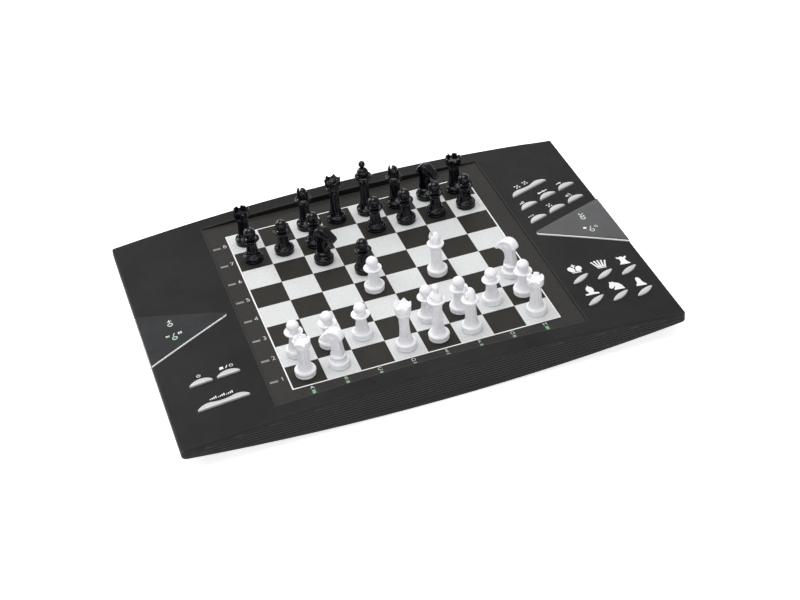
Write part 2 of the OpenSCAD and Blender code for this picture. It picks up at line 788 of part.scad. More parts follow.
module housing_screws() color(metal_color)
    for (s = SCREWS) translate([s[0], s[1], belly_z(s[0]) + screw_seat]) {
        translate([0, 0, -screw_head_h]) difference() {
            cylinder(d = screw_head_d, h = screw_head_h);
            for (a = [0, 90]) rotate(a) centred_box(drive_l, drive_w, -over, drive_deep);
        }
        cylinder(d = screw_d, h = screw_l);
    }

module rubber_feet() color(rubber_color)
    for (f = FEET) translate([f[0], f[1], 0]) {
        cylinder(d1 = foot_d - 2 * foot_bevel, d2 = foot_d, h = foot_bevel);
        translate([0, 0, foot_bevel]) cylinder(d = foot_d, h = foot_top - foot_bevel);
    }

// ---- Board, windows and lamps ----

module board_panel() color(panel_color)
    difference() {
        centred_box(well_w - 2 * panel_gap, well_w - 2 * panel_gap, seat_z, board_z);
        at_lamp_bars() lamp_bar(seat_z - over, board_z + over, bar_gap);
    }

module indicator_windows() color(window_color)
    both_wings() deck_band(-window_raise, window_sink) intersection() {
        linear_extrude(deck_top + 2 * over) window_outline();
        plan();
    }

module indicator_lamps() color(lamp_color) {
    at_lamp_bars() lamp_bar(main_board_top, board_z);
    at_round_lamps() translate([0, 0, wing_board_top])
        cylinder(d = lamp_d, h = lamp_top - wing_board_top);
}

// ---- Circuit boards and batteries ----

module main_circuit_board() color(board_color)
    difference() {
        translate([main_board_x, main_board_y, main_board_z]) {
            cube([main_strip_l, main_strip_w, main_board_t]);
            cube([main_strip_w, main_strip_l, main_board_t]);
            // processor, crystal and sounder under the front strip
            translate([0, main_strip_w / 2, -parts_h]) {
                translate([processor_x, -processor_w / 2, 0]) cube([processor_l, processor_w, parts_h]);
                translate([crystal_x, -crystal_w / 2, 0]) cube([crystal_l, crystal_w, parts_h]);
                translate([sounder_x, 0, 0]) cylinder(d = sounder_d, h = parts_h);
            }
        }
        for (p = main_pins()) translate([p[0], p[1], 0]) cylinder(d = pin_d + 2 * pin_gap, h = deck_top);
    }

module wing_circuit_boards() color(board_color)
    difference() {
        union() {
            both_wings() translate([wing_x0, -wing_board_l / 2 - wing_board_shift, wing_board_z])
                cube([wing_x1 - wing_x0, wing_board_l, wing_board_t]);
            for (k = KEYS) translate([k[2], k[3], wing_board_top - wing_board_t / 2])
                cylinder(d = dome_d, h = dome_h + wing_board_t / 2);
        }
        both_wings() for (p = wing_pins()) translate([p[0], p[1], 0])
            cylinder(d = pin_d + 2 * pin_gap, h = deck_top);
    }

// Two cells in each row, the rows facing opposite ways
module battery_cells() color("#3c6f8c")
    for (row = [0, 1], start = [-cell_space, cell_gap / 2])
        translate([0, cell_y(row), cell_z]) rotate([0, 90, row * 180]) translate([0, 0, start]) {
            cylinder(d = cell_d, h = cell_l);
            cylinder(d = cell_d / 3, h = cell_l + cell_button);
        }

module battery_contacts() color(metal_color)
    for (row = [0, 1], s = [-1, 1]) translate([s * bay_half, cell_y(row), cell_z]) rotate([0, -90 * s, 0]) {
        centred_box(cell_r, cell_r, 0, contact_t);
        translate([0, 0, contact_t]) cylinder(d1 = cell_r, d2 = cell_r / 2, h = spring_l);
    }

// ---- Keys ----

module key(k) color(key_color) {
    under = deck_wall + key_gap;
    deck_band(-key_raise, under + flange_t / 2) key_prism(k);
    deck_band(under, under + flange_t) key_prism(k, flange_w);
    translate([k[2], k[3], stud_z])
        cylinder(d = stud_d, h = deck_z(k[2], under + flange_t / 2) - stud_z);
}

// ---- Chessmen: each profile is turned about the upright axis ----

module turned() rotate_extrude($fn = 72) intersection() {
    square([2 * base_r, 2 * king_collar]);
    union() children();
}

// Base and stem, up to a height where the stem has a given radius
module stem_profile(top, top_r) {
    rim_x = base_r - base_rim;
    rim_y = base_band + base_rim * 0.8;
    square([base_r - base_rim / 2, base_band]);
    translate([rim_x, rim_y]) circle(base_rim);
    polygon([[0, 0], [rim_x, 0], [rim_x, rim_y + base_rim], [stem_r, base_h], [top_r, top], [0, top]]);
}

// Stem with a collar whose rim is at height z
module collar_profile(z) {
    stem_profile(z - flare_h, waist_r);
    translate([collar_r - collar_rim, z]) circle(collar_rim);
    polygon([[0, z - flare_h - over], [waist_r, z - flare_h], [collar_r - collar_rim, z - collar_rim],
             [collar_r - collar_rim, z + collar_rim], [waist_r, z + 2 * collar_rim], [0, z + 2 * collar_rim]]);
}

module pawn() turned() {
    head_z = pawn_collar + 1.6 * pawn_head;
    collar_profile(pawn_collar);
    polygon([[0, pawn_collar], [0.9 * collar_r, pawn_collar + collar_rim],
             [0.75 * pawn_head, head_z - 0.7 * pawn_head], [0, head_z]]);
    translate([0, head_z]) circle(pawn_head);
}

// The mitre has a slanted notch and a small bead on top
module bishop() {
    dome_z = bishop_collar + 1.3 * bishop_dome;
    difference() {
        turned() {
            collar_profile(bishop_collar);
            translate([0, dome_z]) circle(bishop_dome);
            translate([0, bishop_collar]) square([bishop_dome, 1.3 * bishop_dome]);
            translate([0, dome_z + bishop_dome]) circle(notch_w);
        }
        translate([bishop_dome / 2, 0, dome_z + bishop_dome / 2]) rotate([0, 35, 0])
            centred_box(notch_w, 2 * bishop_dome, -0.6 * bishop_dome, 2 * bishop_dome);
    }
}

module king() turned() {
    dome_z = king_collar + 0.55 * king_dome;
    ball_z = dome_z + king_dome + 1.4 * king_ball;
    collar_profile(king_collar);
    translate([0, dome_z]) circle(king_dome);
    translate([0, dome_z]) square([king_ball / 2, ball_z - dome_z]);
    translate([0, ball_z]) circle(king_ball);
}

module rook() {
    neck_z = rook_crown - flare_h;
    difference() {
        union() {
            turned() {
                stem_profile(neck_z, waist_r);
                polygon([[0, neck_z - over], [waist_r, neck_z], [0.9 * collar_r, rook_crown - flare_h / 3],
                         [0.94 * collar_r, rook_crown], [0, rook_crown]]);
            }
            intersection() {
                translate([0, 0, rook_crown - merlon_h / 4])
                    cylinder(r1 = 0.93 * collar_r, r2 = collar_r, h = 1.25 * merlon_h, $fn = 72);
                union() for (i = [1 : merlon_count]) rotate(i * 360 / merlon_count)
                    translate([0, -merlon_w / 2, rook_crown - merlon_h / 4])
                        cube([2 * collar_r, merlon_w, 2 * merlon_h]);
            }
        }
        translate([0, 0, rook_crown - rook_cup])
            cylinder(r = rook_cup_r, h = rook_cup + 2 * merlon_h, $fn = 72);
    }
}

// The crown flares from a thin neck to a ring of points with a dome inside it
module queen() {
    crown_r = 0.91 * collar_r;
    neck_r = 0.8 * waist_r;
    neck_z = queen_crown - queen_flare;
    turned() {
        stem_profile(neck_z, neck_r);
        polygon([[0, neck_z - over], [neck_r, neck_z], [0.87 * crown_r, queen_crown - 0.45 * queen_flare],
                 [crown_r, queen_crown - 0.16 * queen_flare], [0.94 * crown_r, queen_crown],
                 [0.65 * crown_r, queen_crown], [0.58 * crown_r, queen_crown - 0.1 * queen_flare],
                 [0, queen_crown - 0.1 * queen_flare]]);
        translate([0, queen_crown - 0.5 * point_h]) circle(0.38 * crown_r);
    }
    for (i = [1 : queen_points]) rotate(i * 360 / queen_points)
        translate([0.8 * crown_r, 0, queen_crown - 0.1 * point_h])
            cylinder(r1 = 0.17 * crown_r, r2 = 0.03 * crown_r, h = 1.1 * point_h, $fn = 24);
}

// A horse's head in outline, drawn at a height of 35, nose towards +X
KNIGHT = [
    [5.2, 9.5], [5.9, 11.5], [4.3, 14], [3.9, 16.5], [4.6, 19.3], [6.3, 21.4], [8.6, 22.3], [11, 21.6],
    [12.5, 22.9], [12.9, 25], [11.7, 27.6], [9.8, 30.1], [7.6, 32.1], [4.6, 33.9], [1.4, 34.9], [-1.4, 35],
    [-4.4, 34.1], [-6.7, 32.4], [-7.7, 30.3], [-7.4, 28], [-5.9, 25.2], [-4.9, 22], [-4.5, 18], [-4.9, 14],
    [-5.2, 11], [-4.8, 9.5]] / 35;

module knight() {
    top = base_h + 1.2 * base_rim;
    rotate([90, 0, 0]) linear_extrude(knight_t, center = true)
        polygon(concat([[-stem_r, base_h - over], [stem_r, base_h - over]], KNIGHT * knight_h));
    turned() {
        stem_profile(base_h, stem_r);
        polygon([[0, base_h - over], [stem_r, base_h], [1.15 * stem_r, base_h + base_rim],
                 [0.9 * stem_r, top], [0, top]]);
    }
}

module chessman(m) color(m[2])
    translate([file_x(m[3]), rank_y(m[4]), board_z]) rotate(m[5]) {
        if (m[1] == "king") king();
        if (m[1] == "queen") queen();
        if (m[1] == "rook") rook();
        if (m[1] == "bishop") bishop();
        if (m[1] == "knight") knight();
        if (m[1] == "pawn") pawn();
    }

top_housing();
bottom_housing();
board_panel();
indicator_windows();
indicator_lamps();
main_circuit_board();
wing_circuit_boards();
battery_door();
battery_cells();
battery_contacts();
housing_screws();
rubber_feet();
for (k = KEYS) key(k);
for (m = CHESSMEN) chessman(m);
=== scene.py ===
"""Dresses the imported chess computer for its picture: moulded plastics, printed board, pillow keys,
smoked windows and turned chessmen. Shapes are written in millimetres and scaled to metres."""

import math

import bmesh
import bpy
from mathutils import Matrix, Vector


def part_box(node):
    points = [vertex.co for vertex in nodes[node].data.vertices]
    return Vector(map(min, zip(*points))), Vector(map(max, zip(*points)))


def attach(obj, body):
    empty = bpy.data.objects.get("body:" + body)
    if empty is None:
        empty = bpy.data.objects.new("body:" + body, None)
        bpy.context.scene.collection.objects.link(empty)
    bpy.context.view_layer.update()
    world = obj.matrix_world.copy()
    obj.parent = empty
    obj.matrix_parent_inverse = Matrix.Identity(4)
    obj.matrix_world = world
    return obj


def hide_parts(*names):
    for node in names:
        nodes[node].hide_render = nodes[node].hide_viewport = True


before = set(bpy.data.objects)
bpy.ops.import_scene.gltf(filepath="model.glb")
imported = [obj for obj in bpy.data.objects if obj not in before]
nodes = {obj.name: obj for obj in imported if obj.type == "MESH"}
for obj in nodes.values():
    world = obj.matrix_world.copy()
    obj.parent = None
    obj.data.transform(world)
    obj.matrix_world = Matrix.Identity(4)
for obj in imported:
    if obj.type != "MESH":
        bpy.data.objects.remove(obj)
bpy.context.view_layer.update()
MM = 0.001

# ---- Sizes that follow the CAD model, in millimetres ----

body_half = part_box("top_housing")[1].x / MM
body_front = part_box("top_housing")[0].y / MM
deck_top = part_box("top_housing")[1].z / MM
board_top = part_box("board_panel")[1].z / MM
WELL_GAP = 0.2
well_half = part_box("board_panel")[1].x / MM + WELL_GAP

DECK_RISE = 10.6
DECK_R = (body_half**2 + DECK_RISE**2) / (2 * DECK_RISE)
SQUARE = 25.0
FIELD_HALF = 4 * SQUARE
FIELD_SHIFT = 2.4  # the squares sit this far forward of the well's middle
FILE_LAMP_OUT = 9.7  # from the squares to the middle of the lamps along the front
KEY_RAISE = 1.6
WINDOW_SLOPE = math.radians(25.2)
WINDOW_HALF = 31.8
WINDOW_TIP_R = 2.6
WINDOW_RAISE = 0.9
WINDOW_SINK = 0.5
INK_LIFT = 0.03
INK_THICK = 0.04


def deck_z(x):
    """Height of the arched deck at x."""
    return deck_top - DECK_R + math.sqrt(DECK_R**2 - x * x)


def square_at(name):
    """Centre of a square such as e4."""
    file, rank = ord(name[0]) - ord("a") + 1, int(name[1])
    return (file - 4.5) * SQUARE, (rank - 4.5) * SQUARE - FIELD_SHIFT


# ---- Camera ----

CAMERA_AT = Vector((-0.25476, -1.00193, 0.78207))
AZIMUTH, ELEVATION, ROLL = (math.radians(a) for a in (-14.80, 37.19, -5.737))
LENS, SENSOR_WIDTH = 76.1355, 36


def add_camera():
    flat = math.cos(ELEVATION)
    back = Vector((math.sin(AZIMUTH) * flat, -math.cos(AZIMUTH) * flat, math.sin(ELEVATION)))
    right = Vector((0, 0, 1)).cross(back).normalized()
    up = back.cross(right)
    turned_right = math.cos(ROLL) * right + math.sin(ROLL) * up
    turned_up = math.cos(ROLL) * up - math.sin(ROLL) * right
    camera = bpy.data.objects.new("camera", bpy.data.cameras.new("camera"))
    camera.data.lens = LENS
    camera.data.sensor_width = SENSOR_WIDTH
    camera.data.clip_start = 0.05
    camera.matrix_world = (
        Matrix.Translation(CAMERA_AT) @ Matrix((turned_right, turned_up, back)).transposed().to_4x4())
    bpy.context.scene.collection.objects.link(camera)
    bpy.context.scene.camera = camera


# ---- Materials ----

# width in millimetres of the painted highlight along outer edges
EDGE_HIGHLIGHT_REACH = 1.2
RANK_LAMPS_END = -0.105  # in metres: lamps left of this stand by the ranks, and are unlit


def linear(*srgb):
    """Linear colour for sRGB values from 0 to 255."""
    return tuple((c / 255 / 12.92) if c < 10.3 else ((c / 255 + 0.055) / 1.055) ** 2.4
                 for c in srgb) + (1,)


def grey(value):
    """Linear grey for an sRGB value from 0 to 255."""
    return linear(value, value, value)


class Surface:
    """A procedural Principled material in object coordinates."""

    def __init__(self, name, color, roughness, **sockets):
        self.material = bpy.data.materials.new(name)
        self.material.use_nodes = True
        self.tree = self.material.node_tree
        self.bsdf = self.tree.nodes["Principled BSDF"]
        self.bsdf.inputs["Base Color"].default_value = color
        self.bsdf.inputs["Roughness"].default_value = roughness
        for socket, value in sockets.items():
            self.bsdf.inputs[socket.replace("_", " ")].default_value = value
        self.coordinates = self.node("ShaderNodeTexCoord").outputs["Object"]

    def node(self, kind, **inputs):
        made = self.tree.nodes.new(kind)
        for name, value in inputs.items():
            self.plug(value, made.inputs[name.replace("_", " ")])
        return made

    def plug(self, value, socket):
        if isinstance(value, bpy.types.NodeSocket):
            self.tree.links.new(value, socket)
        else:
            socket.default_value = value

    def math(self, operation, *values):
        made = self.tree.nodes.new("ShaderNodeMath")
        made.operation = operation
        for value, socket in zip(values, made.inputs):
            self.plug(value, socket)
        return made.outputs[0]

    def noise(self, size, detail=2, stretch=None):
        """Noise whose features are about size millimetres."""
        source = self.coordinates
        if stretch:
            source = self.node("ShaderNodeVectorMath")
            source.operation = "MULTIPLY"
            self.plug(self.coordinates, source.inputs[0])
            self.plug(stretch, source.inputs[1])
            source = source.outputs[0]
        made = self.node("ShaderNodeTexNoise", Vector=source, Scale=1 / (size * MM), Detail=detail)
        return made.outputs["Fac"]

    def mix(self, factor, a, b):
        made = self.tree.nodes.new("ShaderNodeMix")
        made.data_type = "RGBA"
        self.plug(factor, made.inputs["Factor"])
        self.plug(a, made.inputs[6])
        self.plug(b, made.inputs[7])
        return made.outputs[2]

    def ramp(self, factor, low, high, at=(0.35, 0.65)):
        made = self.node("ShaderNodeValToRGB", Fac=factor)
        for element, place, color in zip(made.color_ramp.elements, at, (low, high)):
            element.position, element.color = place, color
        return made.outputs["Color"]

    def bump(self, height, depth, rounded=0.0):
        """Bump of the given depth in millimetres, on edges rounded in the shading."""
        inputs = {"Height": height, "Strength": 1.0, "Distance": depth * MM}
        made = self.node("ShaderNodeBump", **inputs)
        if rounded:
            bevel = self.node("ShaderNodeBevel", Radius=rounded * MM)
            bevel.samples = 4
            self.plug(bevel.outputs[0], made.inputs["Normal"])
        self.plug(made.outputs[0], self.bsdf.inputs["Normal"])
        return self

    def highlight_edges(self, color, edge_highlight, reach):
        """Colour with a painted highlight along outer edges, where they would catch the light, reach
        millimetres wide.
        """
        # occlusion traced inside the surface finds the convex edges that take the painted highlight
        inward = self.node("ShaderNodeAmbientOcclusion", Distance=reach * MM)
        inward.inside, inward.only_local, inward.samples = True, True, 8
        painted_highlight_mask = self.node("ShaderNodeMapRange", Value=inward.outputs["AO"],
                           From_Min=0.6, From_Max=0.95, To_Min=1.0, To_Max=0.0)
        return self.mix(painted_highlight_mask.outputs[0], color, edge_highlight)

    def color(self, value):
        self.plug(value, self.bsdf.inputs["Base Color"])

    def roughness(self, low, high, factor):
        spread = self.node("ShaderNodeMapRange", Value=factor, To_Min=low, To_Max=high)
        self.plug(spread.outputs[0], self.bsdf.inputs["Roughness"])


def moulded(name, dark, light, roughness, grain=0.35, depth=0.03, rounded=0.3, edge_highlight=None,
            **sockets):
    """Spark-eroded moulded plastic: fine grain, a slow change of tone, and a painted highlight along
    outer edges when a highlight colour is given.
    """
    surface = Surface(name, dark, roughness, **sockets)
    tone = surface.ramp(surface.noise(38, 3), dark, light)
    # painted highlight mixed into the outer edges when a highlight colour is given
    surface.color(surface.highlight_edges(tone, edge_highlight, EDGE_HIGHLIGHT_REACH) if edge_highlight else tone)
    surface.roughness(roughness - 0.06, roughness + 0.08, surface.noise(4, 3))
    return surface.bump(surface.noise(grain, 2), depth, rounded)


def glossy(name, color, shade, roughness, **sockets):
    """Polished moulded plastic with the slight waviness of a small moulding."""
    surface = Surface(name, color, roughness, **sockets)
    surface.color(surface.ramp(surface.noise(9, 2), shade, color))
    surface.roughness(roughness * 0.8, roughness * 1.4, surface.noise(3, 3))
    return surface.bump(surface.noise(5, 1), 0.02)


def printed_board():
    """Dark textured film printed with light squares, with a painted green glow of the lit file lamps
    round them.
    """
    surface = Surface("printed_board", grey(46), 0.55, Specular_IOR_Level=0.2)
    split = surface.node("ShaderNodeSeparateXYZ", Vector=surface.coordinates)
    x = surface.math("DIVIDE", split.outputs["X"], SQUARE * MM)
    forward = surface.math("ADD", split.outputs["Y"], FIELD_SHIFT * MM)
    y = surface.math("DIVIDE", forward, SQUARE * MM)
    count = surface.math("ADD", surface.math("FLOOR", x), surface.math("FLOOR", y))
    in_files = surface.math("LESS_THAN", surface.math("ABSOLUTE", x), 4)
    in_ranks = surface.math("LESS_THAN", surface.math("ABSOLUTE", y), 4)
    inside = surface.math("MULTIPLY", in_files, in_ranks)
    light = surface.math("MULTIPLY", surface.math("PINGPONG", count, 1), inside)
    grain = surface.noise(0.9, 3)
    dark_square = surface.ramp(grain, linear(34, 32, 28), linear(44, 42, 37))
    light_square = surface.ramp(grain, linear(198, 201, 201), linear(214, 216, 215))
    surround = surface.ramp(grain, linear(38, 37, 34), linear(50, 48, 45))
    # distance to the nearest file lamp
    across = surface.math("SUBTRACT", surface.math("FRACT", x), 0.5)
    along = surface.math("SUBTRACT", split.outputs["Y"],
                         -(FIELD_HALF + FIELD_SHIFT + FILE_LAMP_OUT) * MM)
    glow_across = surface.math("MULTIPLY", across, SQUARE * MM)
    glow_along = surface.math("MULTIPLY", along, 0.55)
    reach = surface.math("SQRT", surface.math("ADD", surface.math("POWER", glow_across, 2),
                                              surface.math("POWER", glow_along, 2)))
    # painted green glow of the lit file lamps on the surround, fading out between 1.2 and 3.6 mm from
    # them
    painted_lamp_glow = surface.node("ShaderNodeMapRange", Value=reach, From_Min=1.2 * MM, From_Max=3.6 * MM,
                         To_Min=0.75, To_Max=0.0).outputs[0]
    painted_lamp_glow = surface.math("MULTIPLY", painted_lamp_glow, in_files)
    surround = surface.mix(painted_lamp_glow, surround, linear(30, 74, 34))
    ground = surface.mix(inside, surround, dark_square)
    surface.color(surface.mix(light, ground, light_square))
    surface.roughness(0.5, 0.66, surface.noise(2, 2))
    surface.bump(surface.noise(0.5, 2), 0.025, 0.15)
    return surface


def lamp_plastic():
    """Pale green lit lamps along the files, and grey unlit ones along the ranks."""
    surface = Surface("lamp_plastic", linear(170, 220, 176), 0.35)
    split = surface.node("ShaderNodeSeparateXYZ", Vector=surface.coordinates)
    lit = surface.math("GREATER_THAN", split.outputs["X"], RANK_LAMPS_END)
    grain = surface.noise(1.2, 2)
    green = surface.ramp(grain, linear(104, 136, 104), linear(162, 186, 158))
    dull = surface.ramp(grain, linear(112, 113, 110), linear(142, 143, 140))
    surface.color(surface.mix(lit, dull, green))
    surface.bump(surface.noise(1.0, 1), 0.02)
    return surface


def smoked_window():
    """Dark polished plastic over the round lamps."""
    surface = Surface("smoked_window", linear(44, 45, 48), 0.2)
    surface.color(surface.ramp(surface.noise(20, 2), linear(31, 32, 35), linear(40, 41, 44)))
    surface.roughness(0.18, 0.28, surface.noise(6, 2))
    return surface.bump(surface.noise(9, 1), 0.015)


def circuit_board():
    """Green solder mask over long narrow tracks."""
    surface = Surface("circuit_board", linear(28, 96, 52), 0.3)
    trace = surface.math("GREATER_THAN", surface.noise(2.4, 0, (1, 0.12, 1)), 0.56)
    surface.color(surface.mix(trace, linear(24, 84, 44), linear(46, 122, 70)))
    return surface.bump(trace, 0.03)


def cell_jacket():
    """Blue sleeve with a plain silver band."""
    surface = Surface("cell_jacket", linear(40, 78, 104), 0.3)
    split = surface.node("ShaderNodeSeparateXYZ", Vector=surface.coordinates)
    band = surface.math("GREATER_THAN", surface.math("PINGPONG", split.outputs["X"], 0.05), 0.04)
    surface.color(surface.mix(band, linear(44, 88, 116), linear(168, 170, 172)))
    return surface.bump(surface.noise(3, 2), 0.02)


def plated_steel():
    """Nickel plating with fine drawn lines."""
    surface = Surface("plated_steel", grey(196), 0.28, Metallic=1.0)
    surface.roughness(0.22, 0.42, surface.noise(1.5, 3, (1, 6, 1)))
    return surface.bump(surface.noise(0.8, 3), 0.01)


# the housing's outer edges get a painted highlight in grey 60
HOUSING = moulded("housing_plastic", linear(25, 25, 26), linear(32, 32, 32), 0.5,
                  edge_highlight=grey(60), Specular_IOR_Level=0.14).material
BOARD = printed_board().material
LAMP = lamp_plastic().material
WINDOW = smoked_window().material
CIRCUIT = circuit_board().material
CELL = cell_jacket().material
STEEL = plated_steel().material
RUBBER = moulded("foot_rubber", grey(26), grey(34), 0.8, 0.6, 0.04).material
KEY = moulded("key_plastic", linear(189, 189, 187), linear(199, 199, 197), 0.22,
              0.5, 0.008, 0).material
INK = moulded("white_ink", grey(226), grey(240), 0.5, 0.5, 0.01, 0).material
DIM_INK = moulded("grey_ink", grey(178), grey(200), 0.5, 0.5, 0.01, 0).material
# painted highlights for the window plates: white on the near edges, where they catch the light, and mid
# grey on the left plate's far edge
WINDOW_NEAR_HIGHLIGHT = moulded("painted_window_near_edge_highlight", grey(244), grey(250), 0.3, 0.9, 0.005, 0).material
WINDOW_FAR_HIGHLIGHT = moulded("painted_window_far_edge_highlight", grey(112), grey(128), 0.3, 0.9, 0.005, 0).material
LAMP_RING = moulded("lamp_ring", linear(186, 222, 190), linear(206, 232, 208), 0.4,
                    0.9, 0.005, 0).material
LAMP_CORE = moulded("lamp_core", linear(46, 74, 48), linear(70, 104, 72), 0.3,
                    0.9, 0.005, 0).material
WHITE_MAN = glossy("white_chessman", linear(244, 244, 246), linear(238, 238, 243), 0.24).material
BLACK_MAN = glossy("black_chessman", linear(6, 7, 15), linear(4, 4, 11), 0.13,
                   Specular_IOR_Level=0.34).material

NODE_MATERIALS = {
    "top_housing": HOUSING, "bottom_housing": HOUSING, "battery_door": HOUSING, "board_panel": BOARD,
    "indicator_lamps": LAMP, "main_circuit_board": CIRCUIT,
    "wing_circuit_boards": CIRCUIT, "battery_cells": CELL, "battery_contacts": STEEL,
    "housing_screws": STEEL, "rubber_feet": RUBBER,
}


def dress_nodes():
    for name, material in NODE_MATERIALS.items():
        mesh = nodes[name].data
        mesh.materials.clear()
        mesh.materials.append(material)


# ---- Mesh helpers ----

WELD = 1e-6


def piece(name, verts, faces, materials, body, face_materials=None, smooth_angle=35,
          at=None, turn=0):
    """A piece from millimetre vertices, riding on a body."""
    mesh = bpy.data.meshes.new(name)
    mesh.from_pydata([Vector(v) * MM for v in verts], [], faces)
    materials = materials if isinstance(materials, list) else [materials]
    for material in materials:
        mesh.materials.append(material)
    if face_materials:
        mesh.polygons.foreach_set("material_index", face_materials)
    work = bmesh.new()
    work.from_mesh(mesh)
    bmesh.ops.remove_doubles(work, verts=work.verts, dist=WELD)
    bmesh.ops.recalc_face_normals(work, faces=work.faces)
    work.to_mesh(mesh)
    work.free()
    mesh.shade_smooth()
    mesh.set_sharp_from_angle(angle=math.radians(smooth_angle))
    made = bpy.data.objects.new(name, mesh)
    if at:
        made.matrix_world = Matrix.Translation(Vector(at) * MM) @ Matrix.Rotation(turn, 4, "Z")
    bpy.context.scene.collection.objects.link(made)
    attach(made, body)
    return made


def spline(points, steps=5):
    """Catmull-Rom curve through the points."""
    if len(points) < 3:
        return list(points)
    ends = [points[0]] + list(points) + [points[-1]]
    out = []
    for a, b, c, d in zip(ends, ends[1:], ends[2:], ends[3:]):
        for i in range(steps):
            t = i / steps
            out.append(tuple(0.5 * (2 * q + (r - p) * t + (2 * p - 5 * q + 4 * r - s) * t * t
                                    + (3 * q - p - 3 * r + s) * t**3)
                             for p, q, r, s in zip(a, b, c, d)))
    return out + [points[-1]]


def arc(center_z, radius, start, end, steps=12):
    """Points (radius, height) on a circle about the axis, by angle from the horizontal."""
    angles = [math.radians(start + (end - start) * i / steps) for i in range(steps + 1)]
    return [(abs(radius * math.cos(a)), center_z + radius * math.sin(a)) for a in angles]


def lathe(runs, shape=None, segments=72):
    """Turned form from runs of (radius, height); shape may move a point by its angle."""
    profile = []
    for run in runs:
        curve = spline(run)
        profile += curve if not profile or profile[-1] != curve[0] else curve[1:]
    verts, faces, rows = [], [], []
    for radius, height in profile:
        if radius < WELD:
            rows.append([len(verts)])
            verts.append((0, 0, height))
            continue
        rows.append(list(range(len(verts), len(verts) + segments)))
        for i in range(segments):
            angle = 2 * math.pi * i / segments
            r, z = shape(radius, height, angle) if shape else (radius, height)
            verts.append((r * math.cos(angle), r * math.sin(angle), z))
    for low, high in zip(rows, rows[1:]):
        for i in range(segments):
            j = (i + 1) % segments
            if len(low) == 1:
                faces.append((low[0], high[j], high[i]))
            elif len(high) == 1:
                faces.append((low[i], low[j], high[0]))
            else:
                faces.append((low[i], low[j], high[j], high[i]))
    return verts, faces


# ---- Chessmen ----

# Every turned form below is a list of runs of (radius, height), and each run is one smooth curve
BASE = [[(0, 0), (7.05, 0)], [(7.05, 0), (7.4, 0.3), (7.5, 1), (7.4, 1.6), (7.1, 1.9)],
        [(7.1, 1.9), (6.9, 2.15)],
        [(6.9, 2.15), (7.35, 2.3), (7.65, 2.8), (7.8, 3.5), (7.75, 4.3), (7.45, 4.95), (7, 5.25),
         (6.4, 5.3)],
        [(6.4, 5.3), (5.95, 5.55), (5.6, 6)]]
FLUTES, FLUTE_DEPTH, FLUTE_LOW, FLUTE_FADE = 12, 0.4, 8.5, 2
CROWN_INNER_R = 4.6


def clamp(value):
    return max(0.0, min(1.0, value))


def fluted(top):
    """Shallow flutes in a stem from just above its base to the given height."""

    def shape(radius, height, angle):
        weight = clamp(min((height - FLUTE_LOW) / FLUTE_FADE, (top - height) / FLUTE_FADE))
        return radius - FLUTE_DEPTH * weight * (0.5 - 0.5 * math.cos(FLUTES * angle)), height

    return shape


def crown(start, rise, spread, peak, stem_top):
    """Points or merlons: the rim above start is lifted and spread by the peak at each angle."""
    stem = fluted(stem_top)

    def shape(radius, height, angle):
        if height < start:
            return stem(radius, height, angle)
        weight = peak(angle) if radius > CROWN_INNER_R else 0
        return radius + spread * weight, height + rise * weight

    return shape


def point(angle):
    """Six sharp points."""
    return (0.5 + 0.5 * math.cos(6 * angle)) ** 1.8


def merlon(angle):
    """Six broad merlons with narrow slots."""
    return clamp((math.cos(6 * angle) + 0.74) * 3.2)


def pawn():
    return lathe(BASE + [
        [(5.6, 6), (5.1, 7), (4.8, 8.2), (4.45, 10), (4.15, 12.5), (4.05, 15), (4.3, 16.8), (5, 17.9),
         (6.1, 18.8)],
        [(6.1, 18.8), (6.75, 19.2), (6.9, 19.7), (6.6, 20.1)],
        [(6.6, 20.1), (5.8, 19.85), (4.6, 19.75), (3.4, 20.2), (2.64, 20.93)],
        arc(24.7, 4.6, -55, 90)], fluted(17))


def rook():
    return lathe(BASE + [
        [(5.6, 6), (5.2, 7), (4.95, 8.2), (4.7, 10), (4.35, 13.5), (4.1, 18), (4.1, 21), (4.4, 23.4),
         (5, 24.5)],
        [(5, 24.5), (5.9, 25), (6.1, 25.8), (6.15, 27.2)],
        [(6.15, 27.2), (6.25, 28.9)], [(6.25, 28.9), (6, 29.2)],
        [(6, 29.2), (4.9, 29.2)], [(4.9, 29.2), (4.8, 28.5)], [(4.8, 28.5), (0, 28.3)]],
        crown(28.8, 1.8, 0.2, merlon, 22.5), 144)


def queen():
    return lathe(BASE + [
        [(5.6, 6), (5.1, 7), (4.75, 8.2), (4.4, 10), (4, 13.5), (3.75, 18), (3.75, 22), (3.9, 26),
         (4.15, 28.3)],
        [(4.15, 28.3), (4.8, 28.7), (5.25, 29.5), (5.2, 30.3), (4.8, 31), (4.6, 31.2)],
        [(4.6, 31.2), (5.3, 31.8), (5.9, 32.9), (6.15, 34.4), (6.2, 35.8), (6.2, 36.6)],
        [(6.2, 36.6), (5.9, 37.1), (5.4, 36.9)], [(5.4, 36.9), (4.7, 35.9), (3.2, 35.3)],
        [(3.2, 35.3), (3, 36.2), (2.2, 37.1), (1.2, 37.6), (0, 37.8)]],
        crown(35.6, 1.9, 0.35, point, 27))


def king():
    return lathe(BASE + [
        [(5.6, 6), (5.1, 7), (4.75, 8.2), (4.35, 10), (4, 14), (3.75, 19), (3.75, 24), (3.95, 28),
         (4.5, 30.8), (5.4, 32.3)],
        [(5.4, 32.3), (6.4, 33.1), (6.8, 34), (6.55, 34.8)],
        [(6.55, 34.8), (6, 35), (5.2, 34.7), (4.35, 35.07)],
        arc(37.1, 4.8, -25, 76), [(1.16, 41.76), (1.1, 42.1), (1.27, 42.72)],
        arc(45.1, 2.7, -62, 90, 10)], fluted(29))


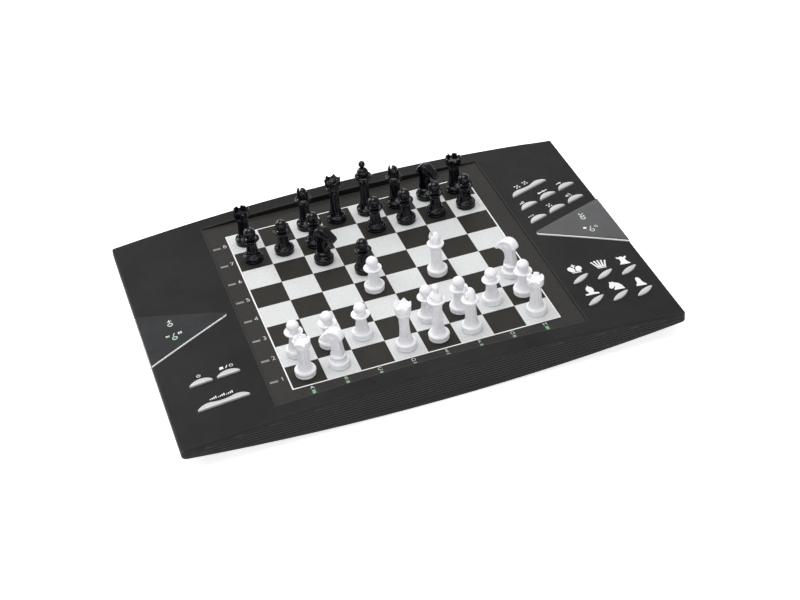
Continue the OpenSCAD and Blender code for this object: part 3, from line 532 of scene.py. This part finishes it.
def bishop():
    stem = fluted(22.5)
    mitre_low, cut_low, cut_at, cut_half = 27.5, 30.5, 1.75, 0.85

    def notched(radius, height, angle):
        """A steep cut that leaves a thin lip on one side of the mitre."""
        if height < mitre_low:
            return stem(radius, height, angle)
        across = radius * math.cos(angle) - cut_at
        weight = clamp((height - cut_low) / 1.2)
        cut = weight * max(0, 1 - (across / cut_half) ** 4)
        lip = weight * clamp((across - 0.5) / 0.4)
        return radius + 0.5 * lip, height - 3 * cut + 1.3 * lip

    return lathe(BASE + [
        [(5.6, 6), (5.1, 7), (4.8, 8.2), (4.55, 10), (4.3, 13.5), (4.1, 18), (4.1, 21), (4.4, 23.6),
         (5.2, 24.8)],
        [(5.2, 24.8), (6.1, 25.5), (6.5, 26.4), (6.3, 27.2), (5.9, 27.5)],
        [(5.9, 27.5), (5, 27.2), (4.2, 27.6)],
        [(4.2, 27.6), (4.3, 29), (4.25, 30.4), (4.1, 31.8), (3.85, 33), (3.5, 34), (3.05, 34.9),
         (2.5, 35.6), (1.75, 36.2), (0.9, 36.5), (0, 36.6)]], notched, 120)


# Side outlines of the horse's head and neck as (x, height), nose towards +X
KNIGHT_OUTLINE = [
    (4.4, 7), (4.9, 9.4), (5, 11.5), (4.1, 14), (3.8, 17), (4.2, 19.4), (5.6, 21.2), (8, 21.9),
    (10.2, 21.2), (11.7, 20.9), (12.5, 21.8), (12.1, 23.3), (10.8, 25), (8.8, 27.2), (6.6, 29.3),
    (4.4, 30.7), (2, 31.4), (-0.5, 31.3), (-2.6, 30.3), (-4.2, 28.4), (-5.2, 26.2), (-5.3, 24.6),
    (-4.4, 23.8), (-3.5, 23), (-3.1, 21.5), (-3.3, 18), (-3.8, 14), (-4.4, 10.5), (-4.4, 7)]
KNIGHT_MANE = [
    (7.4, 28.4), (4.5, 30.6), (2, 31.3), (-0.5, 31.2), (-2.6, 30.2), (-4.2, 28.3), (-5.2, 26.1),
    (-5.3, 24.5), (-4.3, 24), (-3.3, 24.6), (-2.6, 26.4), (-1.2, 28.1), (0.6, 28.8), (2.6, 28.7),
    (4.6, 27.9), (6, 27)]
KNIGHT_CHEEK = [(0.8, 24.4), (1.8, 22.8), (3.4, 22.2), (5, 22.8), (5.6, 24.3), (4.9, 26), (3.3, 26.7),
                (1.7, 26.2), (0.8, 25.3)]
KNIGHT_MUZZLE = [(8.6, 22.4), (10, 21.6), (11.4, 21.4), (12, 22.2), (11.5, 23.6), (10.2, 24.8),
                 (9, 24.2)]
# Each plate of the head: outline, half its thickness, and its edges' rounding
KNIGHT_PLATES = [(KNIGHT_OUTLINE, 3.2, 1.2), (KNIGHT_MANE, 3.7, 0.8), (KNIGHT_CHEEK, 3.5, 0.6),
                 (KNIGHT_MUZZLE, 3.3, 0.5)]


def mesh_of(holder):
    """Mesh of a curve or text object, which is then removed."""
    bpy.context.scene.collection.objects.link(holder)
    mesh = bpy.data.meshes.new_from_object(
        holder.evaluated_get(bpy.context.evaluated_depsgraph_get()))
    bpy.data.objects.remove(holder)
    return mesh


def slab(outline, half, bevel):
    """Closed outline of (x, z) points as an upright plate with rounded edges."""
    curve = bpy.data.curves.new("slab", "CURVE")
    curve.dimensions, curve.fill_mode = "2D", "BOTH"
    curve.extrude, curve.bevel_depth = (half - bevel) * MM, bevel * MM
    curve.bevel_resolution, curve.offset = 3, -bevel * MM
    points = spline(outline + outline[:1], 3)[:-1]
    line = curve.splines.new("POLY")
    line.points.add(len(points) - 1)
    for made, (x, z) in zip(line.points, points):
        made.co = (x * MM, z * MM, 0, 1)
    line.use_cyclic_u = True
    mesh = mesh_of(bpy.data.objects.new("slab", curve))
    verts = [(v.co.x / MM, -v.co.z / MM, v.co.y / MM) for v in mesh.vertices]
    faces = [tuple(p.vertices) for p in mesh.polygons]
    bpy.data.curves.remove(curve)
    bpy.data.meshes.remove(mesh)
    return verts, faces


def knight():
    verts, faces = lathe(BASE + [
        [(6.2, 5.6), (5.7, 6.5), (5.4, 7.2), (5.6, 8)], [(5.6, 8), (5.9, 8.8), (5.7, 9.6), (5, 10.1)],
        [(5, 10.1), (0, 10.3)]])
    for outline, half, bevel in KNIGHT_PLATES:
        more, polygons = slab(outline, half, bevel)
        faces += [tuple(i + len(verts) for i in polygon) for polygon in polygons]
        verts += more
    return verts, faces


MEN = {"pawn": pawn, "rook": rook, "knight": knight, "bishop": bishop, "queen": queen, "king": king}
POSITION = {
    "white_king": "e1", "white_queen": "d1", "white_rook_a": "a1", "white_rook_h": "h1",
    "white_knight_b": "b1", "white_knight_g": "h3", "white_bishop_c": "f4", "white_bishop_f": "f1",
    "white_pawn_a": "a2", "white_pawn_b": "b2", "white_pawn_c": "c2", "white_pawn_d": "d4",
    "white_pawn_e": "e2", "white_pawn_f": "f2", "white_pawn_g": "g2", "white_pawn_h": "h2",
    "black_king": "e8", "black_queen": "d8", "black_rook_a": "a8", "black_rook_h": "h8",
    "black_knight_b": "c6", "black_knight_g": "g8", "black_bishop_c": "c8", "black_bishop_f": "f8",
    "black_pawn_a": "a7", "black_pawn_b": "b7", "black_pawn_c": "c7", "black_pawn_d": "d5",
    "black_pawn_e": "e7", "black_pawn_f": "f7", "black_pawn_g": "g7", "black_pawn_h": "h7",
}
# Degrees that the nose or the mitre's cut is turned from +X
FACING = {"white_knight_b": 140, "white_knight_g": 126, "black_knight_b": -45, "black_knight_g": -50,
          "white_bishop_c": 150, "white_bishop_f": 150, "black_bishop_c": 150, "black_bishop_f": 150}


def add_chessmen():
    for name, square in POSITION.items():
        color, kind = name.split("_")[:2]
        verts, faces = MEN[kind]()
        x, y = square_at(square)
        turn = math.radians(FACING.get(name, 0))
        material = WHITE_MAN if color == "white" else BLACK_MAN
        man = piece(name + "_form", verts, faces, material, name,
                    smooth_angle=40, at=(x, y, board_top), turn=turn)
        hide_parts(name)


# ---- Keys ----

WING_MID = (body_half + well_half) / 2
LEFT_X = 3.4 - WING_MID
RIGHT_X = WING_MID - 0.7
KEY_PITCH = 19.4
POWER_KEY_OUT = 10.2  # of the two half-moon keys on the left wing, from its column
# Rows of keys: how far the first one is from the front or from the window's edge, and their pitch
LEFT_ROW, LEFT_ROW_PITCH = 36.4, 28.1
LENS_ROW, LENS_ROW_PITCH = 33.9, 28.6
MOON_ROW, MOON_ROW_PITCH = 14.3, 19.7
MOON_L, MOON_D, MOON_END = 16.8, 5.0, 1.0
MOON_R = ((MOON_L / 2) ** 2 + (MOON_D - MOON_END) ** 2) / (2 * (MOON_D - MOON_END))
WAVE_HALF, WAVE_DIP = 10.4, 3.4
LENS_L, LENS_W, LENS_CUT, LENS_TILT = 17.0, 4.0, 0.6, 31
CAP_LONGER, CAP_WIDER = 1.1, 1.18  # how far a lens key's cap overhangs its stem
CAP_RIM, CAP_UNDER = 0.95, 0.86
FLANGE_OUT, FLANGE_TOP, FLANGE_LOW = 0.9, -1.95, -2.6


def window_edge(x):
    """Half the width of the window at x."""
    return WINDOW_HALF - (body_half - x) * math.tan(WINDOW_SLOPE)


def moon_span(u):
    """x and the outline's lower and upper y of a half-moon key, for u from -1 to 1."""
    x = u * MOON_L / 2
    return x, -MOON_D / 2, MOON_D / 2 - MOON_R + math.sqrt(MOON_R**2 - x * x)


def wave_span(u):
    """The same for a long key whose upper edge dips between two humps."""
    x = u * (WAVE_HALF + MOON_L / 2)
    lift = WAVE_DIP - MOON_D + MOON_R
    dip_r = (WAVE_HALF**2 + lift**2 - MOON_R**2) / (2 * (MOON_R - lift))
    touch = WAVE_HALF * dip_r / (dip_r + MOON_R)
    if abs(x) < touch:
        top = WAVE_DIP + dip_r - math.sqrt(dip_r**2 - x * x)
    else:
        top = MOON_D - MOON_R + math.sqrt(max(0, MOON_R**2 - (abs(x) - WAVE_HALF) ** 2))
    return x, -MOON_D / 2, top - MOON_D / 2


def lens_span(u):
    """The same for a pointed key."""
    x = u * (LENS_L / 2 - LENS_CUT)
    bow = ((LENS_L / 2) ** 2 + (LENS_W / 2) ** 2) / LENS_W
    half = LENS_W / 2 - bow + math.sqrt(bow**2 - x * x)
    return x, -half, half


SPANS = {"moon": moon_span, "wave": wave_span, "lens": lens_span}


def key_list():
    """node, outline, x, y, tilt in degrees, as in the CAD model."""
    column = {i: RIGHT_X + i * KEY_PITCH for i in (-1, -0.5, 0, 1)}
    left_y = [body_front + LEFT_ROW + row * LEFT_ROW_PITCH for row in (0, 1)]
    lens_y = [body_front + LENS_ROW + row * LENS_ROW_PITCH for row in (0, 1)]
    slope = math.degrees(WINDOW_SLOPE)
    keys = [("on_key", "moon", LEFT_X - POWER_KEY_OUT, left_y[1], 0),
            ("save_off_key", "moon", LEFT_X + POWER_KEY_OUT, left_y[1], 0),
            ("training_key", "wave", LEFT_X, left_y[0], 0)]
    for name, shape, place, row in (
            ("new_game", "wave", -0.5, 2), ("level", "moon", -1, 1), ("take_back", "moon", 0, 1),
            ("move", "moon", 1, 1), ("hint", "moon", -1, 0), ("set_up", "moon", 0, 0),
            ("sound", "moon", 1, 0)):
        x = column[place]
        keys.append((name + "_key", shape, x, window_edge(x) + MOON_ROW + row * MOON_ROW_PITCH, slope))
    for name, place, row in (("king", -1, 1), ("queen", 0, 1), ("rook", 1, 1), ("bishop", -1, 0),
                             ("knight", 0, 0), ("pawn", 1, 0)):
        keys.append((name + "_key", "lens", column[place], lens_y[row], LENS_TILT))
    return keys


def add_key(name, outline, cx, cy, tilt):
    """A pillow-topped key with its flange under the deck."""
    span = SPANS[outline]
    across, along = 14, 64 if outline == "wave" else 36
    turn = math.radians(tilt)
    longer, wider = (CAP_LONGER, CAP_WIDER) if outline == "lens" else (1, 1)

    def place(x, y, height):
        px = cx + x * math.cos(turn) - y * math.sin(turn)
        py = cy + x * math.sin(turn) + y * math.cos(turn)
        return px, py, deck_z(px) + height

    def grid_point(i, j):
        """x, y and the two fractions of a point of the top's grid."""
        u = -math.cos(math.pi * i / along)
        v = 0.5 - 0.5 * math.cos(math.pi * j / across)
        x, low, high = span(u)
        return x, low + (high - low) * v, u, v

    verts, faces, rows = [], [], []

    def add_row(points):
        rows.append(list(range(len(verts), len(verts) + len(points))))
        verts.extend(points)

    for i in range(along + 1):
        for j in range(across + 1):
            x, y, u, v = grid_point(i, j)
            swell = math.sqrt(max(0, 1 - (2 * v - 1) ** 2)) * math.sqrt(max(0, 1 - abs(u) ** 7))
            verts.append(place(x * longer, y * wider, CAP_RIM + (KEY_RAISE - CAP_RIM) * swell))
    width = across + 1
    for i in range(along):
        for j in range(across):
            a = i * width + j
            faces.append((a, a + width, a + width + 1, a + 1))
    rim = ([(i, 0) for i in range(along + 1)] + [(along, j) for j in range(1, across + 1)]
           + [(i, across) for i in range(along - 1, -1, -1)]
           + [(0, j) for j in range(across - 1, 0, -1)])
    rows.append([i * width + j for i, j in rim])
    flat = [grid_point(i, j)[:2] for i, j in rim]
    middle = sum(x for x, y in flat) / len(flat)
    reach = max(abs(x) for x, y in flat)
    if outline == "lens":
        add_row([place(x * longer, y * wider, CAP_UNDER) for x, y in flat])
    for grow, height in ((0, CAP_UNDER), (0, FLANGE_TOP), (FLANGE_OUT, FLANGE_TOP),
                         (FLANGE_OUT, FLANGE_LOW)):
        add_row([place(middle + x * (1 + grow / reach), y + math.copysign(grow, y), height)
                 for x, y in flat])
    for upper, lower in zip(rows, rows[1:]):
        for k in range(len(flat)):
            m = (k + 1) % len(flat)
            faces.append((upper[k], lower[k], lower[m], upper[m]))
    faces.append(tuple(rows[-1]))
    key = piece(name + "_cap", verts, faces, KEY, name, smooth_angle=50)
    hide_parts(name)


# ---- Windows ----


def add_window(side):
    """A smoked plate on one wing, with a painted highlight on its near edge: side is 1 on the right,
    where only the near edge has one, and on the left the far edge gets a dimmer grey painted highlight.
    """
    point_x = body_half - WINDOW_HALF / math.tan(WINDOW_SLOPE)
    tip_x = point_x + WINDOW_TIP_R / math.sin(WINDOW_SLOPE)
    tangent_x = tip_x - WINDOW_TIP_R * math.sin(WINDOW_SLOPE)

    def half_at(x):
        if x < tangent_x:
            return math.sqrt(max(0, WINDOW_TIP_R**2 - (x - tip_x) ** 2))
        return window_edge(x)

    start = tip_x - WINDOW_TIP_R
    stations = [start + (tangent_x - start) * (1 - math.cos(math.pi / 2 * i / 8)) for i in range(9)]
    stations += [tangent_x + (body_half - tangent_x) * i / 26 for i in range(1, 27)]
    inner, shoulder = 10, 0.6
    # height and inset of the edge, from its foot to the flat top
    levels = [(-WINDOW_SINK, 0), (WINDOW_RAISE - 0.25, 0), (WINDOW_RAISE - 0.07, 0.12),
              (WINDOW_RAISE, shoulder)]
    verts, faces, kinds = [], [], []
    for x in stations:
        half = half_at(x)
        row = [(-max(0, half - inset), height) for height, inset in levels]
        top = max(0, half - shoulder)
        row += [(-top + 2 * top * j / inner, WINDOW_RAISE) for j in range(1, inner)]
        row += [(max(0, half - inset), height) for height, inset in reversed(levels)]
        verts += [(side * x, y, deck_z(x) + height) for y, height in row]
    width = 2 * len(levels) + inner - 1
    for i in range(len(stations) - 1):
        for j in range(width):
            a, b = i * width + j, i * width + (j + 1) % width
            faces.append((a, b, b + width, a + width))
            near, far = j in (0, 1, 2), j in (width - 2, width - 3)
            # near edge faces get the white painted highlight, and on the left plate the far edge faces
            # get the grey one
            kinds.append(1 if near else 2 if far and side < 0 else 0)
    faces.append(tuple(range(width)))
    faces.append(tuple((len(stations) - 1) * width + j for j in range(width)))
    kinds += [0, 0]
    window = piece("window_plate_" + ("right" if side > 0 else "left"), verts, faces,
                   [WINDOW, WINDOW_NEAR_HIGHLIGHT, WINDOW_FAR_HIGHLIGHT], "console", kinds, 30)
    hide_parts("indicator_windows")


# ---- Printing ----

SIGN_GAP = 0.7  # added to each sign's distance from its key
LETTER_OUT, LETTER_SIZE = 103.9, 4.8
NUMBER_X, NUMBER_UP, NUMBER_SIZE = -104.4, 0.9, 6.2
LETTER_SPREAD = 0.03
LAMP_RING_R, LAMP_RING_W, LAMP_CORE_R, LAMP_CORE_THICK = 2.1, 0.75, 1.4, 0.03


def ring(radius, width, cx=0.0, cy=0.0, steps=20, start=0, end=360):
    """Quads of a ring or part of one."""
    quads = []
    angles = [math.radians(start + (end - start) * i / steps) for i in range(steps + 1)]
    for a, b in zip(angles, angles[1:]):
        quads.append([(cx + r * math.cos(t), cy + r * math.sin(t))
                      for r, t in ((radius - width, a), (radius, a), (radius, b), (radius - width, b))])
    return quads


def box(x0, y0, x1, y1):
    return [(x0, y0), (x1, y0), (x1, y1), (x0, y1)]


def disc(radius, cx=0.0, cy=0.0):
    angles = [2 * math.pi * i / 16 for i in range(16)]
    return [(cx + radius * math.cos(a), cy + radius * math.sin(a)) for a in angles]


def mirrored(points):
    """A closed outline from its right half, given from the bottom up."""
    return points + [(-x, y) for x, y in reversed(points)]


def moved(polygons, dx, sx=1):
    """Polygons scaled by sx and shifted by dx along x."""
    return [[(x * sx + dx, y) for x, y in polygon] for polygon in polygons]


KING_LOBE = [(0.45, -3.8), (3.7, -3.8), (5.6, -0.9), (5.4, 1.6), (3.6, 2.9), (1.9, 2.3), (0.45, -0.2)]
# The traditional outline signs of the six men: polygons about the sign's middle
CHESS_ICONS = {
    "king": [box(-3.6, -5.4, 3.6, -4.4), box(-0.5, 0.9, 0.5, 5.4), box(-1.6, 3.1, 1.6, 4.1),
             KING_LOBE] + moved([KING_LOBE], 0, -1),
    "queen": [box(-3.5, -5.4, 3.5, -4.4)] + [
        q for k in range(-2, 3) for tip in [(2.7 * k, 4.3 - 0.3 * k * k)] for q in (
            [(1.45 * k - 0.7, -3.9), (1.45 * k + 0.7, -3.9), (tip[0] + 0.6, tip[1]),
             (tip[0] - 0.6, tip[1])],
            disc(0.85, *tip))],
    "rook": [mirrored([(4.1, -5.2), (4.1, -4.2), (2.6, -2.2), (2.1, 1.4), (2.9, 2.4), (4, 3), (4, 4.8),
                       (2.6, 4.8), (2.5, 3.7), (1, 3.7), (0.9, 4.8)])],
    "bishop": [mirrored([(5.4, -5.6), (5.3, -4), (2.4, -3.6), (1.8, -2.8), (2.9, -0.2), (2.7, 2.2),
                         (1.5, 4), (0.5, 4.8), (0.2, 6.1)])],
    "knight": [[(-2.8, -5.3), (-2.5, -3.8), (-0.7, -1.4), (-0.6, -0.4), (-3.2, -3), (-4.6, -2.9),
                (-5.4, -1.8), (-5, 0), (-3.8, 2.4), (-3.2, 4.6), (-2.6, 5.4), (-1.5, 4.4), (-0.5, 5.4),
                (0.5, 3.9), (3.2, 2.4), (5, -1), (5.5, -5.3)]],
    "pawn": [mirrored([(4.1, -5.4), (4, -3.9), (2.7, -2.5), (1.8, 0.6), (2.1, 1.5), (1.7, 3.2),
                       (0.9, 5)])],
}
# Place of each sign from the middle of its key
ICON_RISE = {"king": 14.3, "queen": 14.3, "rook": 13.9, "bishop": 13.7, "knight": 13.6, "pawn": 13.4}
ICON_SHIFT = {"king": 0.9, "queen": 1.8, "rook": 1.3, "bishop": 0.9, "knight": 1.7, "pawn": 1.3}

BARS = [box(-2.6 + 1.4 * i, -1.3, -1.8 + 1.4 * i, -0.4 + 0.55 * i) for i in range(4)]
ARROW = [[(-2.8, 0), (-1, 1.5), (-1, 0.45), (2.6, 0.45), (2.6, -0.45), (-1, -0.45), (-1, -1.5)]]
GRID = [box(-1.9 + 1.4 * i, -1.9 + 1.4 * j, -0.8 + 1.4 * i, -0.8 + 1.4 * j)
        for i in range(3) for j in range(3) if (i + j) % 2 == 0]
# Small plain signs beside the other keys: polygons, and their shift along and rise above the key
KEY_SIGNS = {
    "on": (ring(1.5, 0.45, start=125, end=415) + [box(-0.22, 0, 0.22, 1.9)], 0, 6.5),
    "save_off": ([box(-5.2, -1.3, -2.4, 1.3), [(-1.1, -1.5), (-0.5, -1.5), (1, 1.6), (0.4, 1.6)]]
                 + ring(1.5, 0.45, 3.4), 0.4, 6.5),
    "training": (moved(BARS, -6) + BARS + moved(BARS, 6), 0, 6.4),
    "new_game": (moved(GRID, -4.4, 1.1) + moved(GRID, 4.4), -0.6, 6.3),
    "level": (BARS, -0.8, 5.2),
    "take_back": (ARROW + moved(ARROW, 5), -0.4, 5.4),
    "move": (moved(ARROW, 0, -1), -0.6, 5.2),
    "hint": ([disc(0.6, -2.2), disc(0.6, 0), disc(0.6, 2.2)], -0.8, 4.8),
    "set_up": (GRID, -0.6, 5.6),
    "sound": ([[(-1.8, -0.6), (-0.9, -0.6), (0.4, -1.6), (0.4, 1.6), (-0.9, 0.6), (-1.8, 0.6)]]
              + ring(2.2, 0.4, 0.2, 0, 8, -45, 45) + ring(3.3, 0.4, 0.2, 0, 10, -45, 45), -0.6, 5.6),
}


# Window signs as polygons with their place: check, draw and mate; a set-up grid; a filled and an
# open ring for the two sides
SLASH = [[(-1, -1.6), (-0.5, -1.6), (1, 1.6), (0.5, 1.6)]]
PLUS = [box(-1.6, -0.3, -0.3, 0.3), box(0.3, -0.3, 1.6, 0.3), box(-0.3, -1.5, 0.3, 1.5)]
EQUALS = [box(-6.1, 0.3, -3.3, 0.9), box(-6.1, -0.9, -3.3, -0.3)]
HASH = [box(3.6, -1.5, 4.1, 1.5), box(5.3, -1.5, 5.8, 1.5), box(3, 0.35, 6.4, 0.8),
        box(3, -0.8, 6.4, -0.35)]
SIDES = [disc(1.4, -4.6)] + SLASH + ring(1.4, 0.45, 4.6)
WINDOW_SIGNS = {
    "check_sign": (PLUS, -165.3, 12.9), "draw_mate_sign": (EQUALS + SLASH + HASH, -165.3, -4.2),
    "position_sign": (GRID, 166.4, 12.6), "side_sign": (SIDES, 166.4, -5.4),
}
WINDOW_LAMPS = {"left": (-165.3, (8.6, -8.5)), "right": (166.2, (8.3, -9.6))}


def printing(name, polygons, height, material=INK, thick=INK_THICK):
    """Thin printed shapes; height gives the surface's height at a point."""
    work = bmesh.new()
    for polygon in polygons:
        face = work.faces.new([work.verts.new((x * MM, y * MM, 0)) for x, y in polygon])
        bmesh.ops.triangulate(work, faces=[face])
    mesh = bpy.data.meshes.new(name)
    work.to_mesh(mesh)
    work.free()
    finish_printing(name, mesh, height, material, thick)


def finish_printing(name, mesh, height, material, thick):
    """Lays a flat mesh on a surface and gives it the thickness of its ink."""
    for vert in mesh.vertices:
        vert.co.z = (height(vert.co.x / MM, vert.co.y / MM) + INK_LIFT) * MM
    work = bmesh.new()
    work.from_mesh(mesh)
    for face in work.faces:
        if face.normal.z < 0:
            face.normal_flip()
    work.to_mesh(mesh)
    work.free()
    mesh.materials.clear()
    mesh.materials.append(material)
    made = bpy.data.objects.new(name, mesh)
    bpy.context.scene.collection.objects.link(made)
    solid = made.modifiers.new("ink", "SOLIDIFY")
    solid.thickness = thick * MM
    solid.offset = -1
    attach(made, "console")


def placed(polygons, x, y, degrees=0.0):
    """Polygons turned by an angle and then moved to a place."""
    c, s = math.cos(math.radians(degrees)), math.sin(math.radians(degrees))
    return [[(x + px * c - py * s, y + px * s + py * c) for px, py in polygon] for polygon in polygons]


def lettering(name, text, x, y, size, height):
    """One plain character, centred at a place."""
    curve = bpy.data.curves.new(name, "FONT")
    curve.body = text
    curve.size = size * MM
    curve.align_x, curve.align_y = "CENTER", "CENTER"
    curve.offset = LETTER_SPREAD * MM
    mesh = mesh_of(bpy.data.objects.new(name + "_text", curve))
    for vert in mesh.vertices:
        vert.co.x += x * MM
        vert.co.y += y * MM
    finish_printing(name, mesh, height, DIM_INK, INK_THICK)


def on_deck(x, y):
    return deck_z(x)


def on_board(x, y):
    return board_top


def on_window(x, y):
    return deck_z(x) + WINDOW_RAISE


def add_printing(keys):
    half, line = FIELD_HALF + 0.1, 1.0
    outer = half + line
    frame_line = [box(-outer, -outer, outer, -half), box(-outer, half, outer, outer),
                  box(-outer, -half, -half, half), box(half, -half, outer, half)]
    printing("board_outline", placed(frame_line, 0, -FIELD_SHIFT), on_board)
    for i, letter in enumerate("ABCDEFGH"):
        number = str(i + 1)
        x, y = square_at(letter.lower() + number)
        lettering("file_letter_" + letter, letter, x, -FIELD_SHIFT - LETTER_OUT, LETTER_SIZE, on_board)
        lettering("rank_number_" + number, number, NUMBER_X, y + NUMBER_UP, NUMBER_SIZE, on_board)
    for name, _, x, y, tilt in keys:
        short = name.removesuffix("_key")
        if short in CHESS_ICONS:
            icon = placed(CHESS_ICONS[short], x + ICON_SHIFT[short], y + ICON_RISE[short])
            printing(short + "_icon", icon, on_deck)
        else:
            polygons, shift, rise = KEY_SIGNS[short]
            rise += SIGN_GAP
            turn = math.radians(tilt)
            px = x + shift * math.cos(turn) - rise * math.sin(turn)
            py = y + shift * math.sin(turn) + rise * math.cos(turn)
            printing(short + "_sign", placed(polygons, px, py, tilt), on_deck)
    for name, (polygons, x, y) in WINDOW_SIGNS.items():
        printing(name, placed(polygons, x, y), on_window)
    for side, (x, places) in WINDOW_LAMPS.items():
        for i, y in enumerate(places):
            name = side + "_lamp_" + str(i + 1)
            printing(name + "_ring", placed(ring(LAMP_RING_R, LAMP_RING_W), x, y), on_window, LAMP_RING)
            printing(name + "_core", placed([disc(LAMP_CORE_R)], x, y), on_window, LAMP_CORE,
                     LAMP_CORE_THICK)


# ---- Studio ----


FLOOR_HALF, FLOOR_GLOW = 6, 0.7
LIGHT_AIM = Vector((0, 0, 0.02))


def add_stage():
    """A pale floor that shows white to the camera and in reflections, and takes shadows."""
    floor = bpy.data.meshes.new("floor")
    floor.from_pydata([(x, y, 0) for x, y in box(-FLOOR_HALF, -FLOOR_HALF, FLOOR_HALF, FLOOR_HALF)],
                      [], [(0, 1, 2, 3)])
    surface = Surface("floor", grey(238), 0.9)
    path = surface.node("ShaderNodeLightPath")
    seen = surface.math("MAXIMUM", path.outputs["Is Camera Ray"],
                        surface.math("MAXIMUM", path.outputs["Is Glossy Ray"],
                                     path.outputs["Is Transmission Ray"]))
    glow = surface.node("ShaderNodeEmission", Strength=surface.math("MULTIPLY", seen, FLOOR_GLOW))
    total = surface.node("ShaderNodeAddShader")
    surface.plug(surface.bsdf.outputs[0], total.inputs[0])
    surface.plug(glow.outputs[0], total.inputs[1])
    surface.plug(total.outputs[0], surface.tree.nodes["Material Output"].inputs["Surface"])
    floor.materials.append(surface.material)
    made = bpy.data.objects.new("floor", floor)
    bpy.context.scene.collection.objects.link(made)


def add_light(name, at, size, watts):
    """A rectangular soft light aimed at the board."""
    lamp = bpy.data.lights.new(name, "AREA")
    lamp.shape = "RECTANGLE"
    lamp.size, lamp.size_y = size
    lamp.energy = watts
    made = bpy.data.objects.new(name, lamp)
    made.location = at
    made.rotation_euler = (LIGHT_AIM - Vector(at)).to_track_quat("-Z", "Y").to_euler()
    bpy.context.scene.collection.objects.link(made)


def add_studio():
    world = bpy.data.worlds.new("studio")
    world.use_nodes = True
    background = world.node_tree.nodes["Background"]
    background.inputs["Color"].default_value = (1, 1, 1, 1)
    background.inputs["Strength"].default_value = 0.42
    bpy.context.scene.world = world
    add_light("overhead", (-0.1, 0.15, 1.5), (1.2, 0.9), 16)
    add_light("front_fill", (-0.9, -1.3, 0.8), (0.9, 0.6), 4)
    add_light("front_low", (0.15, -1.6, 0.42), (1.0, 0.35), 3.6)
    add_light("back_left", (-0.75, 1.0, 0.65), (0.6, 0.4), 6)
    add_light("back_right", (0.75, 1.5, 0.95), (0.8, 0.7), 2.2)


add_camera()
dress_nodes()
add_chessmen()
key_places = key_list()
for key_place in key_places:
    add_key(*key_place)
for wing in (-1, 1):
    add_window(wing)
add_printing(key_places)
add_stage()
add_studio()
bpy.context.scene.view_settings.view_transform = "Standard"
